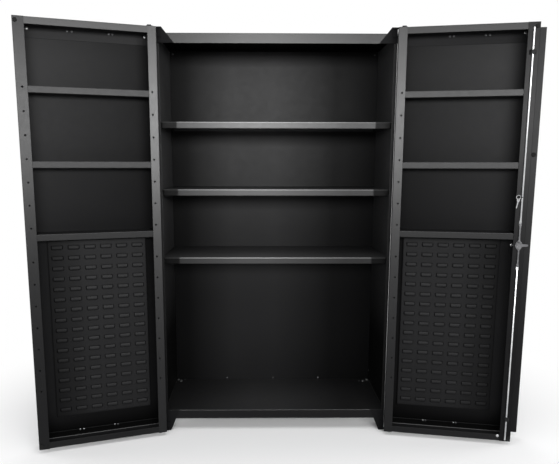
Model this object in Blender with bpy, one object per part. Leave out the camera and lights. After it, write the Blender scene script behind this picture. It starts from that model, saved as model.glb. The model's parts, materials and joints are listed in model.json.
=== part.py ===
"""Bin and shelf cabinet with two deep box doors on pivot pins, at rest with both doors open.

Lengths below are in millimetres and become metres when a mesh is made. Body axes: X to the
right, Y to the back from the front plane of the body, Z up from the floor.
Door axes: u from the hinge edge to the free edge, v from the inner face to the front, z up.
"""

import math

import bmesh
import bpy
import numpy as np

for old in list(bpy.data.objects):
    bpy.data.objects.remove(old)

METRES_PER_MM = 0.001

# Overall sizes
CLOSED_WIDTH = 1219.2
CABINET_HEIGHT = 1981.2
BODY_INSET = 45.6
BODY_DEPTH = 457.2

# Sheet, plates and fits
SHEET = 1.5
GUSSET_PLATE = 3.0
BRACKET_PLATE = 4.0
SEAT_GAP = 0.3
CUT_OVERRUN = 10.0
BEND = 2.4
BEND_STEPS = 3
ROUND_SIDES = 20

# Body shell
TOP_FACE = 1954.5
TOP_LIP = 45.0
TOP_REAR_LIP = 30.0
FLOOR_FACE = 109.0
FLOOR_LIP = 45.5
FLOOR_REAR_LIP = 25.0
SIDE_HEM = 15.0
SIDE_REAR_FLANGE = 33.0
SIDE_LEG = 75.0
SIDE_LEG_SLOPE = 28.0

# Gussets at the corners
EAR_TOP_WIDTH = 28.5
EAR_FOOT_WIDTH = 85.5
LEG_FOOT_WIDTH = 28.5
LEG_RAIL_WIDTH = 54.3
LEG_TOP_WIDTH = 73.0
LEG_FLANGE = 40.0
GUSSET_INSET = 2.0

# Shelves of the body
SHELF_TOPS = {"upper": 1554.0, "middle": 1234.0, "lower": 899.0}
SHELF_SET_BACK = 15.0
SHELF_END_GAP = 17.0
SHELF_LIP = 31.0
SHELF_HEM = 12.0
SHELF_REAR_LIP = 20.0
ANGLE_LEG = 25.0
ANGLE_SHEET = 2.0
ANGLE_END_GAP = 15.0

# Doors
DOOR_DEPTH = 114.0
DOOR_BOTTOM = 20.0
DOOR_TOP = 1969.0
DOOR_CENTRE_GAP = 9.2
DOOR_BODY_GAP = 10.5
PIVOT_FROM_EDGE = 26.5
PIVOT_FROM_FACE = 31.5
LEFT_OPEN = 161.0
RIGHT_OPEN = 168.5
HINGE_FLANGE = 40.0
FREE_FLANGE = {"left": 47.0, "right": 51.0}
TOP_FLANGE = 30.0
BOTTOM_FLANGE = 49.0
TOP_BACK_LEG = 67.0
BOTTOM_BACK_LEG = 32.0
HOLE_RADIUS = 4.5
HOLE_SIDES = 8
HOLE_FROM_EDGE = 25.4
HOLE_PITCH = 101.6
HOLES_PER_GROUP = 7
HOLE_GROUP_GAP = 152.4
HOLE_MIDDLE = 994.0

# Door shelves
DOOR_SHELF_TOPS = {"upper": 1687.5, "middle": 1366.0, "lower": 1042.0}
DOOR_SHELF_LIP = 30.5
DOOR_SHELF_HEM = 10.0
DOOR_SHELF_REAR_LIP = 15.0

# Louvered bin panels
LOUVER_COLUMNS = 6
LOUVER_ROWS = 17
LOUVER_PITCH_U = 74.0
LOUVER_PITCH_Z = 50.0
LOUVER_WIDTH = 52.0
LOUVER_HEIGHT = 19.5
LOUVER_PROUD = 8.0
LOUVER_END = 7.0
LOUVER_LIP_DROP = 1.5
PANEL_EDGE_U = 16.0
PANEL_EDGE_Z = 24.0
PANEL_OFF_CENTRE = 12.5
PANEL_BOTTOM = 132.0
PANEL_STAND_OFF = 13.7

# Pivots
PIN_RADIUS = 6.0
PIN_FIT = 0.4
PIN_REACH = 24.0
PIN_HEAD_RADIUS = 10.0
PIN_HEAD = 4.0
COLLAR_RADIUS = 12.0
BRACKET_ROUND = 14.0
BRACKET_BASE_INNER = 27.0
BRACKET_BASE_OUTER = 7.0
BRACKET_LEG = 36.0
BRACKET_CLEAR = 2.3
COLLAR_HEIGHT = 2.7

# Latch on the right door
LATCH_FROM_FREE_EDGE = 26.5
LATCH_HEIGHT = 987.0
SPINDLE_RADIUS = 6.0
SPINDLE_FIT = 0.4
CAM_RADIUS = 16.0
CAM_SHEET = 3.5
CAM_CLEAR = 0.8
CAM_LOBE = 23.5
CAM_LOBE_WIDTH = 16.0
TONGUE_REACH = 40.5
TONGUE_HEIGHT = 15.0
CRANK = 16.0
LINK_LENGTH = 78.0
LINK_WIDTH = 12.0
LINK_SHEET = 3.0
LINK_CLEAR = 0.5
RIVET_RADIUS = 4.0
RIVET_PROUD = 1.8
ROD_RADIUS = 4.0
ROD_FLAT = 34.0
ROD_FLAT_LAP = 8.0
UPPER_ROD_END = 1947.0
LOWER_ROD_END = 28.6
GUIDE_HEIGHTS = {"upper": 1842.0, "lower": 136.0}
GUIDE_WIDTH = 30.0
GUIDE_TALL = 20.0
GUIDE_WALL = 2.0
GUIDE_FIT = 0.4
ASTRAGAL_SHEET = 2.0
ASTRAGAL_LAP = 45.0
ASTRAGAL_REACH = 53.0
ASTRAGAL_STEP = 4.0
ASTRAGAL_STEP_FROM = 2.0
ASTRAGAL_STEP_RUN = 6.0
ESCUTCHEON_RADIUS = 22.0
ESCUTCHEON_THICK = 3.0
LEVER_HUB = 15.0
LEVER_TIP = 9.0
LEVER_LENGTH = 110.0
LEVER_THICK = 13.0
BUMPER_RADIUS = 9.0
BUMPER_THICK = 6.0
BUMPER_FROM_EDGE = 12.0
BUMPER_FROM_END = 18.0

# Sizes that follow from the ones above
HALF_BODY = CLOSED_WIDTH / 2 - BODY_INSET
WEB_INSIDE = HALF_BODY - SHEET
HEM_FACE = SHEET + SEAT_GAP
HEM_EDGE = HALF_BODY - SIDE_HEM
LEG_CLEAR = FLOOR_FACE - FLOOR_LIP
GUSSET_EDGE = HALF_BODY - GUSSET_INSET
BACK_INSIDE = BODY_DEPTH - 2 * SHEET - SEAT_GAP
DOOR_WIDTH = (CLOSED_WIDTH - DOOR_CENTRE_GAP) / 2
PANEL_CENTRE_U = DOOR_WIDTH / 2 - PANEL_OFF_CENTRE
SKIN_BACK = DOOR_DEPTH - SHEET
FRAME_FRONT = SKIN_BACK - SEAT_GAP
CHANNEL_START = SHEET + SEAT_GAP
PIVOT_X = CLOSED_WIDTH / 2 - PIVOT_FROM_EDGE
PIVOT_Y = -DOOR_BODY_GAP - PIVOT_FROM_FACE
LATCH_U = DOOR_WIDTH - LATCH_FROM_FREE_EDGE
CAM_OUT = -CAM_CLEAR - CAM_SHEET
LINK_IN = CAM_OUT - LINK_CLEAR
LINK_OUT = LINK_IN - LINK_SHEET
ROD_V = CAM_OUT + LINK_SHEET / 2 - LINK_CLEAR - ROD_RADIUS / 2
ROD_PIN = CRANK + LINK_LENGTH


def finish(name, colour, roughness, metallic):
    """A plain material with the colour and gloss of one finish."""
    made = bpy.data.materials.new(name)
    made.use_nodes = True
    shader = made.node_tree.nodes["Principled BSDF"]
    shader.inputs["Base Color"].default_value = (*colour, 1)
    shader.inputs["Roughness"].default_value = roughness
    shader.inputs["Metallic"].default_value = metallic
    made.diffuse_color = (*colour, 1)
    return made


BLACK_PAINT = finish("black_paint", (0.03, 0.03, 0.032), 0.4, 0.0)
BRIGHT_STEEL = finish("bright_steel", (0.55, 0.56, 0.57), 0.3, 1.0)
DARK_STEEL = finish("dark_steel", (0.16, 0.16, 0.17), 0.4, 1.0)
BLACK_PLASTIC = finish("black_plastic", (0.02, 0.02, 0.02), 0.5, 0.0)
BLACK_RUBBER = finish("black_rubber", (0.025, 0.025, 0.025), 0.8, 0.0)


def axis_at(name, place, turn, parent):
    """An empty on a joint axis, placed in its parent's millimetres."""
    empty = bpy.data.objects.new(name, None)
    bpy.context.scene.collection.objects.link(empty)
    empty.location = [METRES_PER_MM * value for value in place]
    empty.rotation_euler = (0, 0, math.radians(turn))
    empty.parent = parent
    return empty


def add_piece(name, shape, place, parent, paint, smooth=False):
    """A closed mesh object from points and faces, each point put in place by a function."""
    points, faces = shape
    bm = bmesh.new()
    made = [bm.verts.new([METRES_PER_MM * value for value in place(*point)]) for point in points]
    for face in faces:
        bm.faces.new([made[i] for i in face])
    bmesh.ops.recalc_face_normals(bm, faces=bm.faces)
    mesh = bpy.data.meshes.new(name)
    bm.to_mesh(mesh)
    bm.free()
    if smooth:
        mesh.shade_smooth()
        mesh.set_sharp_from_angle(angle=math.radians(35))
    mesh.materials.append(paint)
    piece = bpy.data.objects.new(name, mesh)
    bpy.context.scene.collection.objects.link(piece)
    piece.parent = parent
    return piece


def combine(piece, shapes, place, operation):
    """Join shapes to a piece, or cut them from it, with one Boolean for each."""
    for number, shape in enumerate(shapes):
        tool_name = f"{piece.name}_{operation.lower()}_{number}"
        tool = add_piece(tool_name, shape, place, piece.parent, piece.data.materials[0])
        tool.hide_render = True
        tool.display_type = "WIRE"
        change = piece.modifiers.new(operation.title(), "BOOLEAN")
        change.operation = operation
        change.solver = "EXACT"
        change.object = tool
    return piece


def gathered(shapes):
    """Separate shapes as one list of points and faces, for a single cut."""
    points = []
    faces = []
    for shape_points, shape_faces in shapes:
        first = len(points)
        points += shape_points
        faces += [[first + i for i in face] for face in shape_faces]
    return points, faces


def extruded(outline, low, high):
    """A flat outline made solid between two levels of the third axis."""
    count = len(outline)
    points = [(a, b, low) for a, b in outline] + [(a, b, high) for a, b in outline]
    faces = [list(range(count)), list(range(count, 2 * count))]
    for i in range(count):
        after = (i + 1) % count
        faces.append([i, after, after + count, i + count])
    return points, faces


def block(low, high):
    """A box between two corners."""
    outline = [(low[0], low[1]), (high[0], low[1]), (high[0], high[1]), (low[0], high[1])]
    return extruded(outline, low[2], high[2])


def turned(profile, sides, centre=(0.0, 0.0)):
    """A profile of radius and level, closed at both ends, turned round the third axis."""
    points = [(centre[0], centre[1], profile[0][1])]
    for radius, level in profile:
        for k in range(sides):
            angle = 2 * math.pi * k / sides
            a = centre[0] + radius * math.cos(angle)
            b = centre[1] + radius * math.sin(angle)
            points.append((a, b, level))
    points.append((centre[0], centre[1], profile[-1][1]))
    faces = []
    for k in range(sides):
        after = (k + 1) % sides
        faces.append([0, 1 + k, 1 + after])
        for ring in range(len(profile) - 1):
            here = 1 + ring * sides
            faces.append([here + k, here + after, here + sides + after, here + sides + k])
        top = 1 + (len(profile) - 1) * sides
        faces.append([top + k, top + after, len(points) - 1])
    return points, faces


def post(radius, low, high, sides, centre=(0.0, 0.0)):
    """A plain round bar along the third axis."""
    return turned([(radius, low), (radius, high)], sides, centre)


def eased(path):
    """The path with each corner eased by a short curve of the bend size."""
    out = [path[0]]
    for before, corner, after in zip(path, path[1:], path[2:]):
        start = towards(corner, before, BEND)
        end = towards(corner, after, BEND)
        for step in range(BEND_STEPS + 1):
            t = step / BEND_STEPS
            a = (1 - t) ** 2 * start[0] + 2 * t * (1 - t) * corner[0] + t * t * end[0]
            b = (1 - t) ** 2 * start[1] + 2 * t * (1 - t) * corner[1] + t * t * end[1]
            out.append((a, b))
    out.append(path[-1])
    return out


def towards(point, goal, distance):
    length = math.dist(point, goal)
    share = distance / length
    return point[0] + share * (goal[0] - point[0]), point[1] + share * (goal[1] - point[1])


def bent_sheet(path, thickness):
    """Outline of a bent sheet: the path is its outer face, and the sheet lies on the left."""
    outer = eased(path)
    inner = []
    for i, here in enumerate(outer):
        lefts = []
        for first, second in ((i - 1, i), (i, i + 1)):
            if first < 0 or second == len(outer):
                continue
            run_a = outer[second][0] - outer[first][0]
            run_b = outer[second][1] - outer[first][1]
            length = math.hypot(run_a, run_b)
            lefts.append((-run_b / length, run_a / length))
        total_a = sum(left[0] for left in lefts)
        total_b = sum(left[1] for left in lefts)
        share = thickness * len(lefts) / (total_a * total_a + total_b * total_b)
        inner.append((here[0] + share * total_a, here[1] + share * total_b))
    return outer + inner[::-1]


def in_plan(side):
    """Points given as outward distance, Y and Z, on the left or the right of the body."""
    return lambda a, b, c: (side * a, b, c)


def on_front(side):
    """Points given as outward distance, Z and Y."""
    return lambda a, b, c: (side * a, c, b)


def across(a, b, c):
    """Points given as Y, Z and X."""
    return c, a, b


class DoorPlace:
    """Puts door coordinates u, v and z round a joint axis of that door."""

    def __init__(self, side, u, v, z):
        self.side = side
        self.start = (u, v, z)

    def uvz(self, u, v, z):
        return -self.side * (u - self.start[0]), self.start[1] - v, z - self.start[2]

    def vzu(self, v, z, u):
        return self.uvz(u, v, z)

    def uzv(self, u, z, v):
        return self.uvz(u, v, z)


frame = axis_at("cabinet_frame", (0, 0, 0), 0, None)
SIDES = {"left": -1, "right": 1}


def build_shell():
    for word, side in SIDES.items():
        path = [
            (HEM_EDGE, HEM_FACE),
            (HALF_BODY, HEM_FACE),
            (HALF_BODY, BODY_DEPTH),
            (HALF_BODY - SIDE_REAR_FLANGE, BODY_DEPTH),
        ]
        top = TOP_FACE - SHEET - SEAT_GAP
        shape = extruded(bent_sheet(path, SHEET), 0, top)
        panel = add_piece(f"side_panel_{word}", shape, in_plan(side), frame, BLACK_PAINT)
        rear = BODY_DEPTH - SIDE_LEG
        gap = [
            (SIDE_LEG, -CUT_OVERRUN),
            (SIDE_LEG, 0),
            (SIDE_LEG + SIDE_LEG_SLOPE, LEG_CLEAR),
            (rear - SIDE_LEG_SLOPE, LEG_CLEAR),
            (rear, 0),
            (rear, -CUT_OVERRUN),
        ]
        near = side * (HEM_EDGE - CUT_OVERRUN)
        far = side * (HALF_BODY + CUT_OVERRUN)
        cutter = extruded(gap, near, far)
        combine(panel, [cutter], across, "DIFFERENCE")

    back = block(
        (-WEB_INSIDE + SEAT_GAP, BACK_INSIDE, LEG_CLEAR),
        (WEB_INSIDE - SEAT_GAP, BACK_INSIDE + SHEET, TOP_FACE - SHEET - SEAT_GAP),
    )
    add_piece("back_panel", back, in_plan(1), frame, BLACK_PAINT)

    rear = BODY_DEPTH + SEAT_GAP + SHEET
    path = [
        (rear, TOP_FACE - TOP_REAR_LIP),
        (rear, TOP_FACE),
        (0, TOP_FACE),
        (0, TOP_FACE - TOP_LIP),
    ]
    shape = extruded(bent_sheet(path, SHEET), -HALF_BODY, HALF_BODY)
    add_piece("top_panel", shape, across, frame, BLACK_PAINT)

    rear = BACK_INSIDE - SEAT_GAP
    path = [
        (rear, FLOOR_FACE - FLOOR_REAR_LIP),
        (rear, FLOOR_FACE),
        (0, FLOOR_FACE),
        (0, LEG_CLEAR),
    ]
    half = WEB_INSIDE - SEAT_GAP
    floor = add_piece(
        "bottom_panel", extruded(bent_sheet(path, SHEET), -half, half), across, frame, BLACK_PAINT
    )
    notches = []
    for side in SIDES.values():
        near = side * (HEM_EDGE - SEAT_GAP)
        far = side * (HALF_BODY + CUT_OVERRUN)
        behind_hem = HEM_FACE + SHEET + SEAT_GAP
        low = (min(near, far), -CUT_OVERRUN, LEG_CLEAR - CUT_OVERRUN)
        high = (max(near, far), behind_hem, FLOOR_FACE + CUT_OVERRUN)
        notches.append(block(low, high))
    combine(floor, [gathered(notches)], in_plan(1), "DIFFERENCE")


def build_gussets():
    near = -SEAT_GAP - GUSSET_PLATE
    for word, side in SIDES.items():
        ear = [
            (GUSSET_EDGE, CABINET_HEIGHT),
            (HALF_BODY - EAR_TOP_WIDTH, CABINET_HEIGHT),
            (HALF_BODY - EAR_FOOT_WIDTH, TOP_FACE - TOP_LIP),
            (GUSSET_EDGE, TOP_FACE - TOP_LIP),
        ]
        shape = extruded(ear, near, -SEAT_GAP)
        add_piece(f"ear_gusset_{word}", shape, on_front(side), frame, BLACK_PAINT)

        foot = HALF_BODY - LEG_FOOT_WIDTH
        rail = HALF_BODY - LEG_RAIL_WIDTH
        leg = [
            (GUSSET_EDGE, 0),
            (foot, 0),
            (rail, LEG_CLEAR),
            (HALF_BODY - LEG_TOP_WIDTH, FLOOR_FACE),
            (GUSSET_EDGE, FLOOR_FACE),
        ]
        shape = extruded(leg, near, -SEAT_GAP)
        plate = add_piece(f"leg_gusset_{word}", shape, on_front(side), frame, BLACK_PAINT)
        inset = GUSSET_PLATE / 3
        share = (LEG_CLEAR - SEAT_GAP) / LEG_CLEAR
        high_edge = foot + share * (rail - foot)
        flange = [
            (foot + inset, inset / 4),
            (foot + inset + GUSSET_PLATE, inset / 4),
            (high_edge + inset + GUSSET_PLATE, LEG_CLEAR - SEAT_GAP),
            (high_edge + inset, LEG_CLEAR - SEAT_GAP),
        ]
        deep = extruded(flange, near + inset, near + LEG_FLANGE)
        combine(plate, [deep], on_front(side), "UNION")


def build_shelves():
    rear = BACK_INSIDE - SEAT_GAP
    half = HALF_BODY - SHELF_END_GAP
    for word, top in SHELF_TOPS.items():
        lip = top - SHELF_LIP
        path = [
            (rear, top - SHELF_REAR_LIP),
            (rear, top),
            (SHELF_SET_BACK, top),
            (SHELF_SET_BACK, lip),
            (SHELF_SET_BACK + SHELF_HEM, lip),
        ]
        shape = extruded(bent_sheet(path, SHEET), -half, half)
        add_piece(f"shelf_{word}", shape, across, frame, BLACK_PAINT)
        angle_top = top - SHEET - SEAT_GAP
        wall = WEB_INSIDE - SEAT_GAP
        angle = [
            (wall, angle_top - ANGLE_LEG),
            (wall, angle_top),
            (wall - ANGLE_LEG, angle_top),
        ]
        start = SHELF_SET_BACK + SHELF_HEM + ANGLE_END_GAP
        end = rear - SHEET - ANGLE_END_GAP
        for side_word, side in SIDES.items():
            shape = extruded(bent_sheet(angle, ANGLE_SHEET), start, end)
            name = f"shelf_bracket_{word}_{side_word}"
            add_piece(name, shape, on_front(side), frame, BLACK_PAINT)


def hull(points):
    """Convex outline round points in a plane."""
    rows = sorted(set(points))
    chains = []
    for run in (rows, rows[::-1]):
        chain = []
        for point in run:
            while len(chain) > 1 and turn(chain[-2], chain[-1], point) <= 0:
                chain.pop()
            chain.append(point)
        chains.append(chain[:-1])
    return chains[0] + chains[1]


def turn(a, b, c):
    return (b[0] - a[0]) * (c[1] - a[1]) - (b[1] - a[1]) * (c[0] - a[0])


def build_pivots():
    seat = -2 * SEAT_GAP - GUSSET_PLATE
    inner = HALF_BODY - BRACKET_BASE_INNER
    outer = HALF_BODY - BRACKET_BASE_OUTER
    step = 2 * math.pi / ROUND_SIDES
    around = []
    for k in range(ROUND_SIDES):
        a = PIVOT_X + BRACKET_ROUND * math.cos(step * k)
        b = PIVOT_Y + BRACKET_ROUND * math.sin(step * k)
        around.append((a, b))
    base = seat - BRACKET_PLATE / 6
    plan = hull(around + [(inner + 1, base), (outer - 1, base)])
    levels = {
        "top": DOOR_TOP + BRACKET_CLEAR,
        "bottom": DOOR_BOTTOM - 2 * SEAT_GAP - COLLAR_HEIGHT - BRACKET_PLATE,
    }
    for end, low in levels.items():
        high = low + BRACKET_PLATE
        middle = (low + high) / 2
        if end == "top":
            leg = (middle - BRACKET_LEG, middle)
        else:
            leg = (middle, middle + BRACKET_LEG)
        for word, side in SIDES.items():
            name = f"pivot_bracket_{end}_{word}"
            shape = extruded(plan, low, high)
            plate = add_piece(name, shape, in_plan(side), frame, BLACK_PAINT)
            upright = block((inner, seat - BRACKET_PLATE, leg[0]), (outer, seat, leg[1]))
            combine(plate, [upright], in_plan(side), "UNION")
            hole_radius = PIN_RADIUS + PIN_FIT
            ends = (low - CUT_OVERRUN, high + CUT_OVERRUN)
            hole = post(hole_radius, *ends, ROUND_SIDES, (PIVOT_X, PIVOT_Y))
            combine(plate, [hole], in_plan(side), "DIFFERENCE")
            if end == "top":
                profile = [
                    (PIN_RADIUS, DOOR_TOP - PIN_REACH),
                    (PIN_RADIUS, high + SEAT_GAP),
                    (PIN_HEAD_RADIUS, high + SEAT_GAP),
                    (PIN_HEAD_RADIUS, high + SEAT_GAP + PIN_HEAD),
                ]
            else:
                profile = [
                    (PIN_HEAD_RADIUS, low - SEAT_GAP - PIN_HEAD),
                    (PIN_HEAD_RADIUS, low - SEAT_GAP),
                    (PIN_RADIUS, low - SEAT_GAP),
                    (PIN_RADIUS, high + SEAT_GAP),
                    (COLLAR_RADIUS, high + SEAT_GAP),
                    (COLLAR_RADIUS, DOOR_BOTTOM - SEAT_GAP),
                    (PIN_RADIUS, DOOR_BOTTOM - SEAT_GAP),
                    (PIN_RADIUS, DOOR_BOTTOM + PIN_REACH),
                ]
            pin = turned(profile, ROUND_SIDES, (PIVOT_X, PIVOT_Y))
            name = f"pivot_pin_{end}_{word}"
            add_piece(name, pin, in_plan(side), frame, BRIGHT_STEEL, smooth=True)


def hole_column(u):
    """Round cutters for adjustment holes in a stile flange, one group above and one below."""
    cutters = []
    for k in range(HOLES_PER_GROUP):
        away = HOLE_GROUP_GAP / 2 + k * HOLE_PITCH
        for z in (HOLE_MIDDLE - away, HOLE_MIDDLE + away):
            cutters.append(post(HOLE_RADIUS, -CUT_OVERRUN, 3 * SHEET, HOLE_SIDES, (u, z)))
    return gathered(cutters)


def louvered_sheet():
    """A pan with rows of hooded louvers that open along their top edge."""
    half_u = (LOUVER_COLUMNS - 1) / 2
    u_lines = []
    for column in range(LOUVER_COLUMNS):
        middle = PANEL_CENTRE_U + (column - half_u) * LOUVER_PITCH_U
        u_lines += [middle - LOUVER_WIDTH / 2, middle + LOUVER_WIDTH / 2]
    z_lines = []
    for row in range(LOUVER_ROWS):
        low = PANEL_BOTTOM + PANEL_EDGE_Z + row * LOUVER_PITCH_Z
        z_lines += [low, low + LOUVER_HEIGHT]
    u_lines = [u_lines[0] - PANEL_EDGE_U] + u_lines + [u_lines[-1] + PANEL_EDGE_U]
    z_lines = [PANEL_BOTTOM] + z_lines + [z_lines[-1] + PANEL_EDGE_Z]
    face_v = FRAME_FRONT - PANEL_STAND_OFF
    points = []
    faces = []
    front = {}
    back = {}
    for i, u in enumerate(u_lines):
        for k, z in enumerate(z_lines):
            front[i, k] = len(points)
            points.append((u, face_v, z))
            inner_u = min(max(u, u_lines[0] + SHEET), u_lines[-1] - SHEET)
            inner_z = min(max(z, z_lines[0] + SHEET), z_lines[-1] - SHEET)
            back[i, k] = len(points)
            points.append((inner_u, face_v + SHEET, inner_z))
    for i in range(len(u_lines) - 1):
        for k in range(len(z_lines) - 1):
            corners = [(i, k), (i + 1, k), (i + 1, k + 1), (i, k + 1)]
            sheet_front = [front[corner] for corner in corners]
            sheet_back = [back[corner] for corner in corners]
            if i % 2 == 1 and k % 2 == 1:
                add_louver(points, faces, sheet_front, sheet_back)
            else:
                faces += [sheet_front, sheet_back]
    last_u = len(u_lines) - 1
    last_z = len(z_lines) - 1
    rims = []
    for inset in (0, SHEET):
        rims.append(len(points))
        for i, k in ((0, 0), (last_u, 0), (last_u, last_z), (0, last_z)):
            u = u_lines[i] + (inset if i == 0 else -inset)
            z = z_lines[k] + (inset if k == 0 else -inset)
            points.append((u, FRAME_FRONT, z))
    borders = [
        [(i, 0) for i in range(last_u + 1)],
        [(last_u, k) for k in range(last_z + 1)],
        [(i, last_z) for i in range(last_u, -1, -1)],
        [(0, k) for k in range(last_z, -1, -1)],
    ]
    for number, border in enumerate(borders):
        after = (number + 1) % 4
        faces.append([front[corner] for corner in border] + [rims[0] + after, rims[0] + number])
        faces.append([back[corner] for corner in border] + [rims[1] + after, rims[1] + number])
        faces.append([rims[0] + number, rims[0] + after, rims[1] + after, rims[1] + number])
    return points, faces


def add_louver(points, faces, sheet_front, sheet_back):
    """One hood: fixed along its foot and ends, with a free lip along the top."""
    left_u, face_v, foot_z = points[sheet_front[0]]
    right_u, _, top_z = points[sheet_front[2]]
    lip_z = top_z - LOUVER_LIP_DROP
    waist_z = foot_z + 0.4 * (top_z - foot_z)
    sheets = []
    for offset in (0, SHEET):
        first = len(points)
        waist_v = face_v - 0.7 * LOUVER_PROUD + offset
        lip_v = face_v - LOUVER_PROUD + offset
        points.append((left_u + 0.8 * LOUVER_END, waist_v, waist_z))
        points.append((right_u - 0.8 * LOUVER_END, waist_v, waist_z))
        points.append((left_u + LOUVER_END, lip_v, lip_z))
        points.append((right_u - LOUVER_END, lip_v, lip_z))
        sheets.append([first, first + 1, first + 2, first + 3])
    for corners, hood in zip((sheet_front, sheet_back), sheets):
        foot_left, foot_right, top_right, top_left = corners
        waist_left, waist_right, lip_left, lip_right = hood
        faces.append([foot_left, foot_right, waist_right, waist_left])
        faces.append([waist_left, waist_right, lip_right, lip_left])
        faces.append([foot_left, waist_left, top_left])
        faces.append([waist_left, lip_left, top_left])
        faces.append([foot_right, top_right, waist_right])
        faces.append([waist_right, top_right, lip_right])
    rows = []
    for corners, hood in zip((sheet_front, sheet_back), sheets):
        rows.append([corners[3], hood[2], hood[3], corners[2]])
    for step in range(3):
        faces.append([rows[0][step], rows[0][step + 1], rows[1][step + 1], rows[1][step]])
    faces.append([rows[0][0], rows[0][3], rows[1][3], rows[1][0]])


def build_door(word, axis, place):
    free_flange = FREE_FLANGE[word]
    skin = block((0, SKIN_BACK, DOOR_BOTTOM), (DOOR_WIDTH, DOOR_DEPTH, DOOR_TOP))
    skin = add_piece(f"door_skin_{word}", skin, place.uvz, axis, BLACK_PAINT)

    path = [(0, FRAME_FRONT), (0, 0), (HINGE_FLANGE, 0)]
    shape = extruded(bent_sheet(path, SHEET), DOOR_BOTTOM, DOOR_TOP)
    hinge = add_piece(f"hinge_stile_{word}", shape, place.uvz, axis, BLACK_PAINT)
    combine(hinge, [hole_column(HOLE_FROM_EDGE)], place.uzv, "DIFFERENCE")

    path = [(DOOR_WIDTH - free_flange, 0), (DOOR_WIDTH, 0), (DOOR_WIDTH, FRAME_FRONT)]
    shape = extruded(bent_sheet(path, SHEET), DOOR_BOTTOM, DOOR_TOP)
    free = add_piece(f"free_stile_{word}", shape, place.uvz, axis, BLACK_PAINT)
    if word == "left":
        combine(free, [hole_column(DOOR_WIDTH - HOLE_FROM_EDGE)], place.uzv, "DIFFERENCE")

    start = CHANNEL_START
    end = DOOR_WIDTH - CHANNEL_START
    hole_radius = PIN_RADIUS + PIN_FIT
    at = (PIVOT_FROM_EDGE, PIVOT_FROM_FACE)
    path = [
        (FRAME_FRONT, DOOR_TOP - TOP_BACK_LEG),
        (FRAME_FRONT, DOOR_TOP),
        (start, DOOR_TOP),
        (start, DOOR_TOP - TOP_FLANGE),
    ]
    shape = extruded(bent_sheet(path, SHEET), start, end)
    channel = add_piece(f"top_channel_{word}", shape, place.vzu, axis, BLACK_PAINT)
    ends = (DOOR_TOP - CUT_OVERRUN, DOOR_TOP + CUT_OVERRUN)
    hole = post(hole_radius, *ends, ROUND_SIDES, at)
    combine(channel, [hole], place.uvz, "DIFFERENCE")

    path = [
        (start, DOOR_BOTTOM + BOTTOM_FLANGE),
        (start, DOOR_BOTTOM),
        (FRAME_FRONT, DOOR_BOTTOM),
        (FRAME_FRONT, DOOR_BOTTOM + BOTTOM_BACK_LEG),
    ]
    shape = extruded(bent_sheet(path, SHEET), start, end)
    channel = add_piece(f"bottom_channel_{word}", shape, place.vzu, axis, BLACK_PAINT)
    ends = (DOOR_BOTTOM - CUT_OVERRUN, DOOR_BOTTOM + CUT_OVERRUN)
    hole = post(hole_radius, *ends, ROUND_SIDES, at)
    combine(channel, [hole], place.uvz, "DIFFERENCE")

    lip_v = 2 * CHANNEL_START
    for level, top in DOOR_SHELF_TOPS.items():
        path = [
            (FRAME_FRONT, top - DOOR_SHELF_REAR_LIP),
            (FRAME_FRONT, top),
            (lip_v, top),
            (lip_v, top - DOOR_SHELF_LIP),
            (lip_v + DOOR_SHELF_HEM, top - DOOR_SHELF_LIP),
        ]
        shape = extruded(bent_sheet(path, SHEET), start, end)
        add_piece(f"door_shelf_{level}_{word}", shape, place.vzu, axis, BLACK_PAINT)

    add_piece(f"louver_panel_{word}", louvered_sheet(), place.uvz, axis, BLACK_PAINT)

    heights = {"top": DOOR_TOP - BUMPER_FROM_END, "bottom": DOOR_BOTTOM + BUMPER_FROM_END}
    for end_word, z in heights.items():
        rim = 0.25 * BUMPER_THICK
        profile = [
            (BUMPER_RADIUS - rim, -SEAT_GAP - BUMPER_THICK),
            (BUMPER_RADIUS, -SEAT_GAP - BUMPER_THICK + rim),
            (BUMPER_RADIUS, -SEAT_GAP),
        ]
        shape = turned(profile, ROUND_SIDES, (DOOR_WIDTH - BUMPER_FROM_EDGE, z))
        name = f"bumper_{end_word}_{word}"
        add_piece(name, shape, place.uzv, axis, BLACK_RUBBER, smooth=True)
    return skin, free


def arc(centre, radius, first, last, steps):
    """Points on an arc between two angles in degrees."""
    out = []
    for step in range(steps + 1):
        angle = math.radians(first + (last - first) * step / steps)
        out.append((centre[0] + radius * math.cos(angle), centre[1] + radius * math.sin(angle)))
    return out


def cam_outline():
    """Round hub with a lobe above and below, and a tongue towards the free edge."""
    half = CAM_LOBE_WIDTH / 2
    lobe_angle = math.degrees(math.acos(half / CAM_RADIUS))
    tongue_angle = math.degrees(math.asin(TONGUE_HEIGHT / 2 / CAM_RADIUS))
    ease = 0.4 * half
    upper = [(TONGUE_REACH - ease, TONGUE_HEIGHT / 2)]
    upper += arc((0, 0), CAM_RADIUS, tongue_angle, lobe_angle, 2)
    upper += [(half, CAM_LOBE - ease), (half - ease, CAM_LOBE)]
    upper += [(ease - half, CAM_LOBE), (-half, CAM_LOBE - ease)]
    upper += arc((0, 0), CAM_RADIUS, 180 - lobe_angle, 180, 4)
    lower = [(a, -b) for a, b in upper[-2::-1]]
    tip = [(TONGUE_REACH, ease - TONGUE_HEIGHT / 2), (TONGUE_REACH, TONGUE_HEIGHT / 2 - ease)]
    return upper + lower + tip


def capsule(low, high, low_radius, high_radius):
    """Outline of a bar with round ends, standing on the second axis."""
    steps = ROUND_SIDES // 2
    return arc((0, high), high_radius, 0, 180, steps) + arc((0, low), low_radius, 180, 360, steps)


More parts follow.
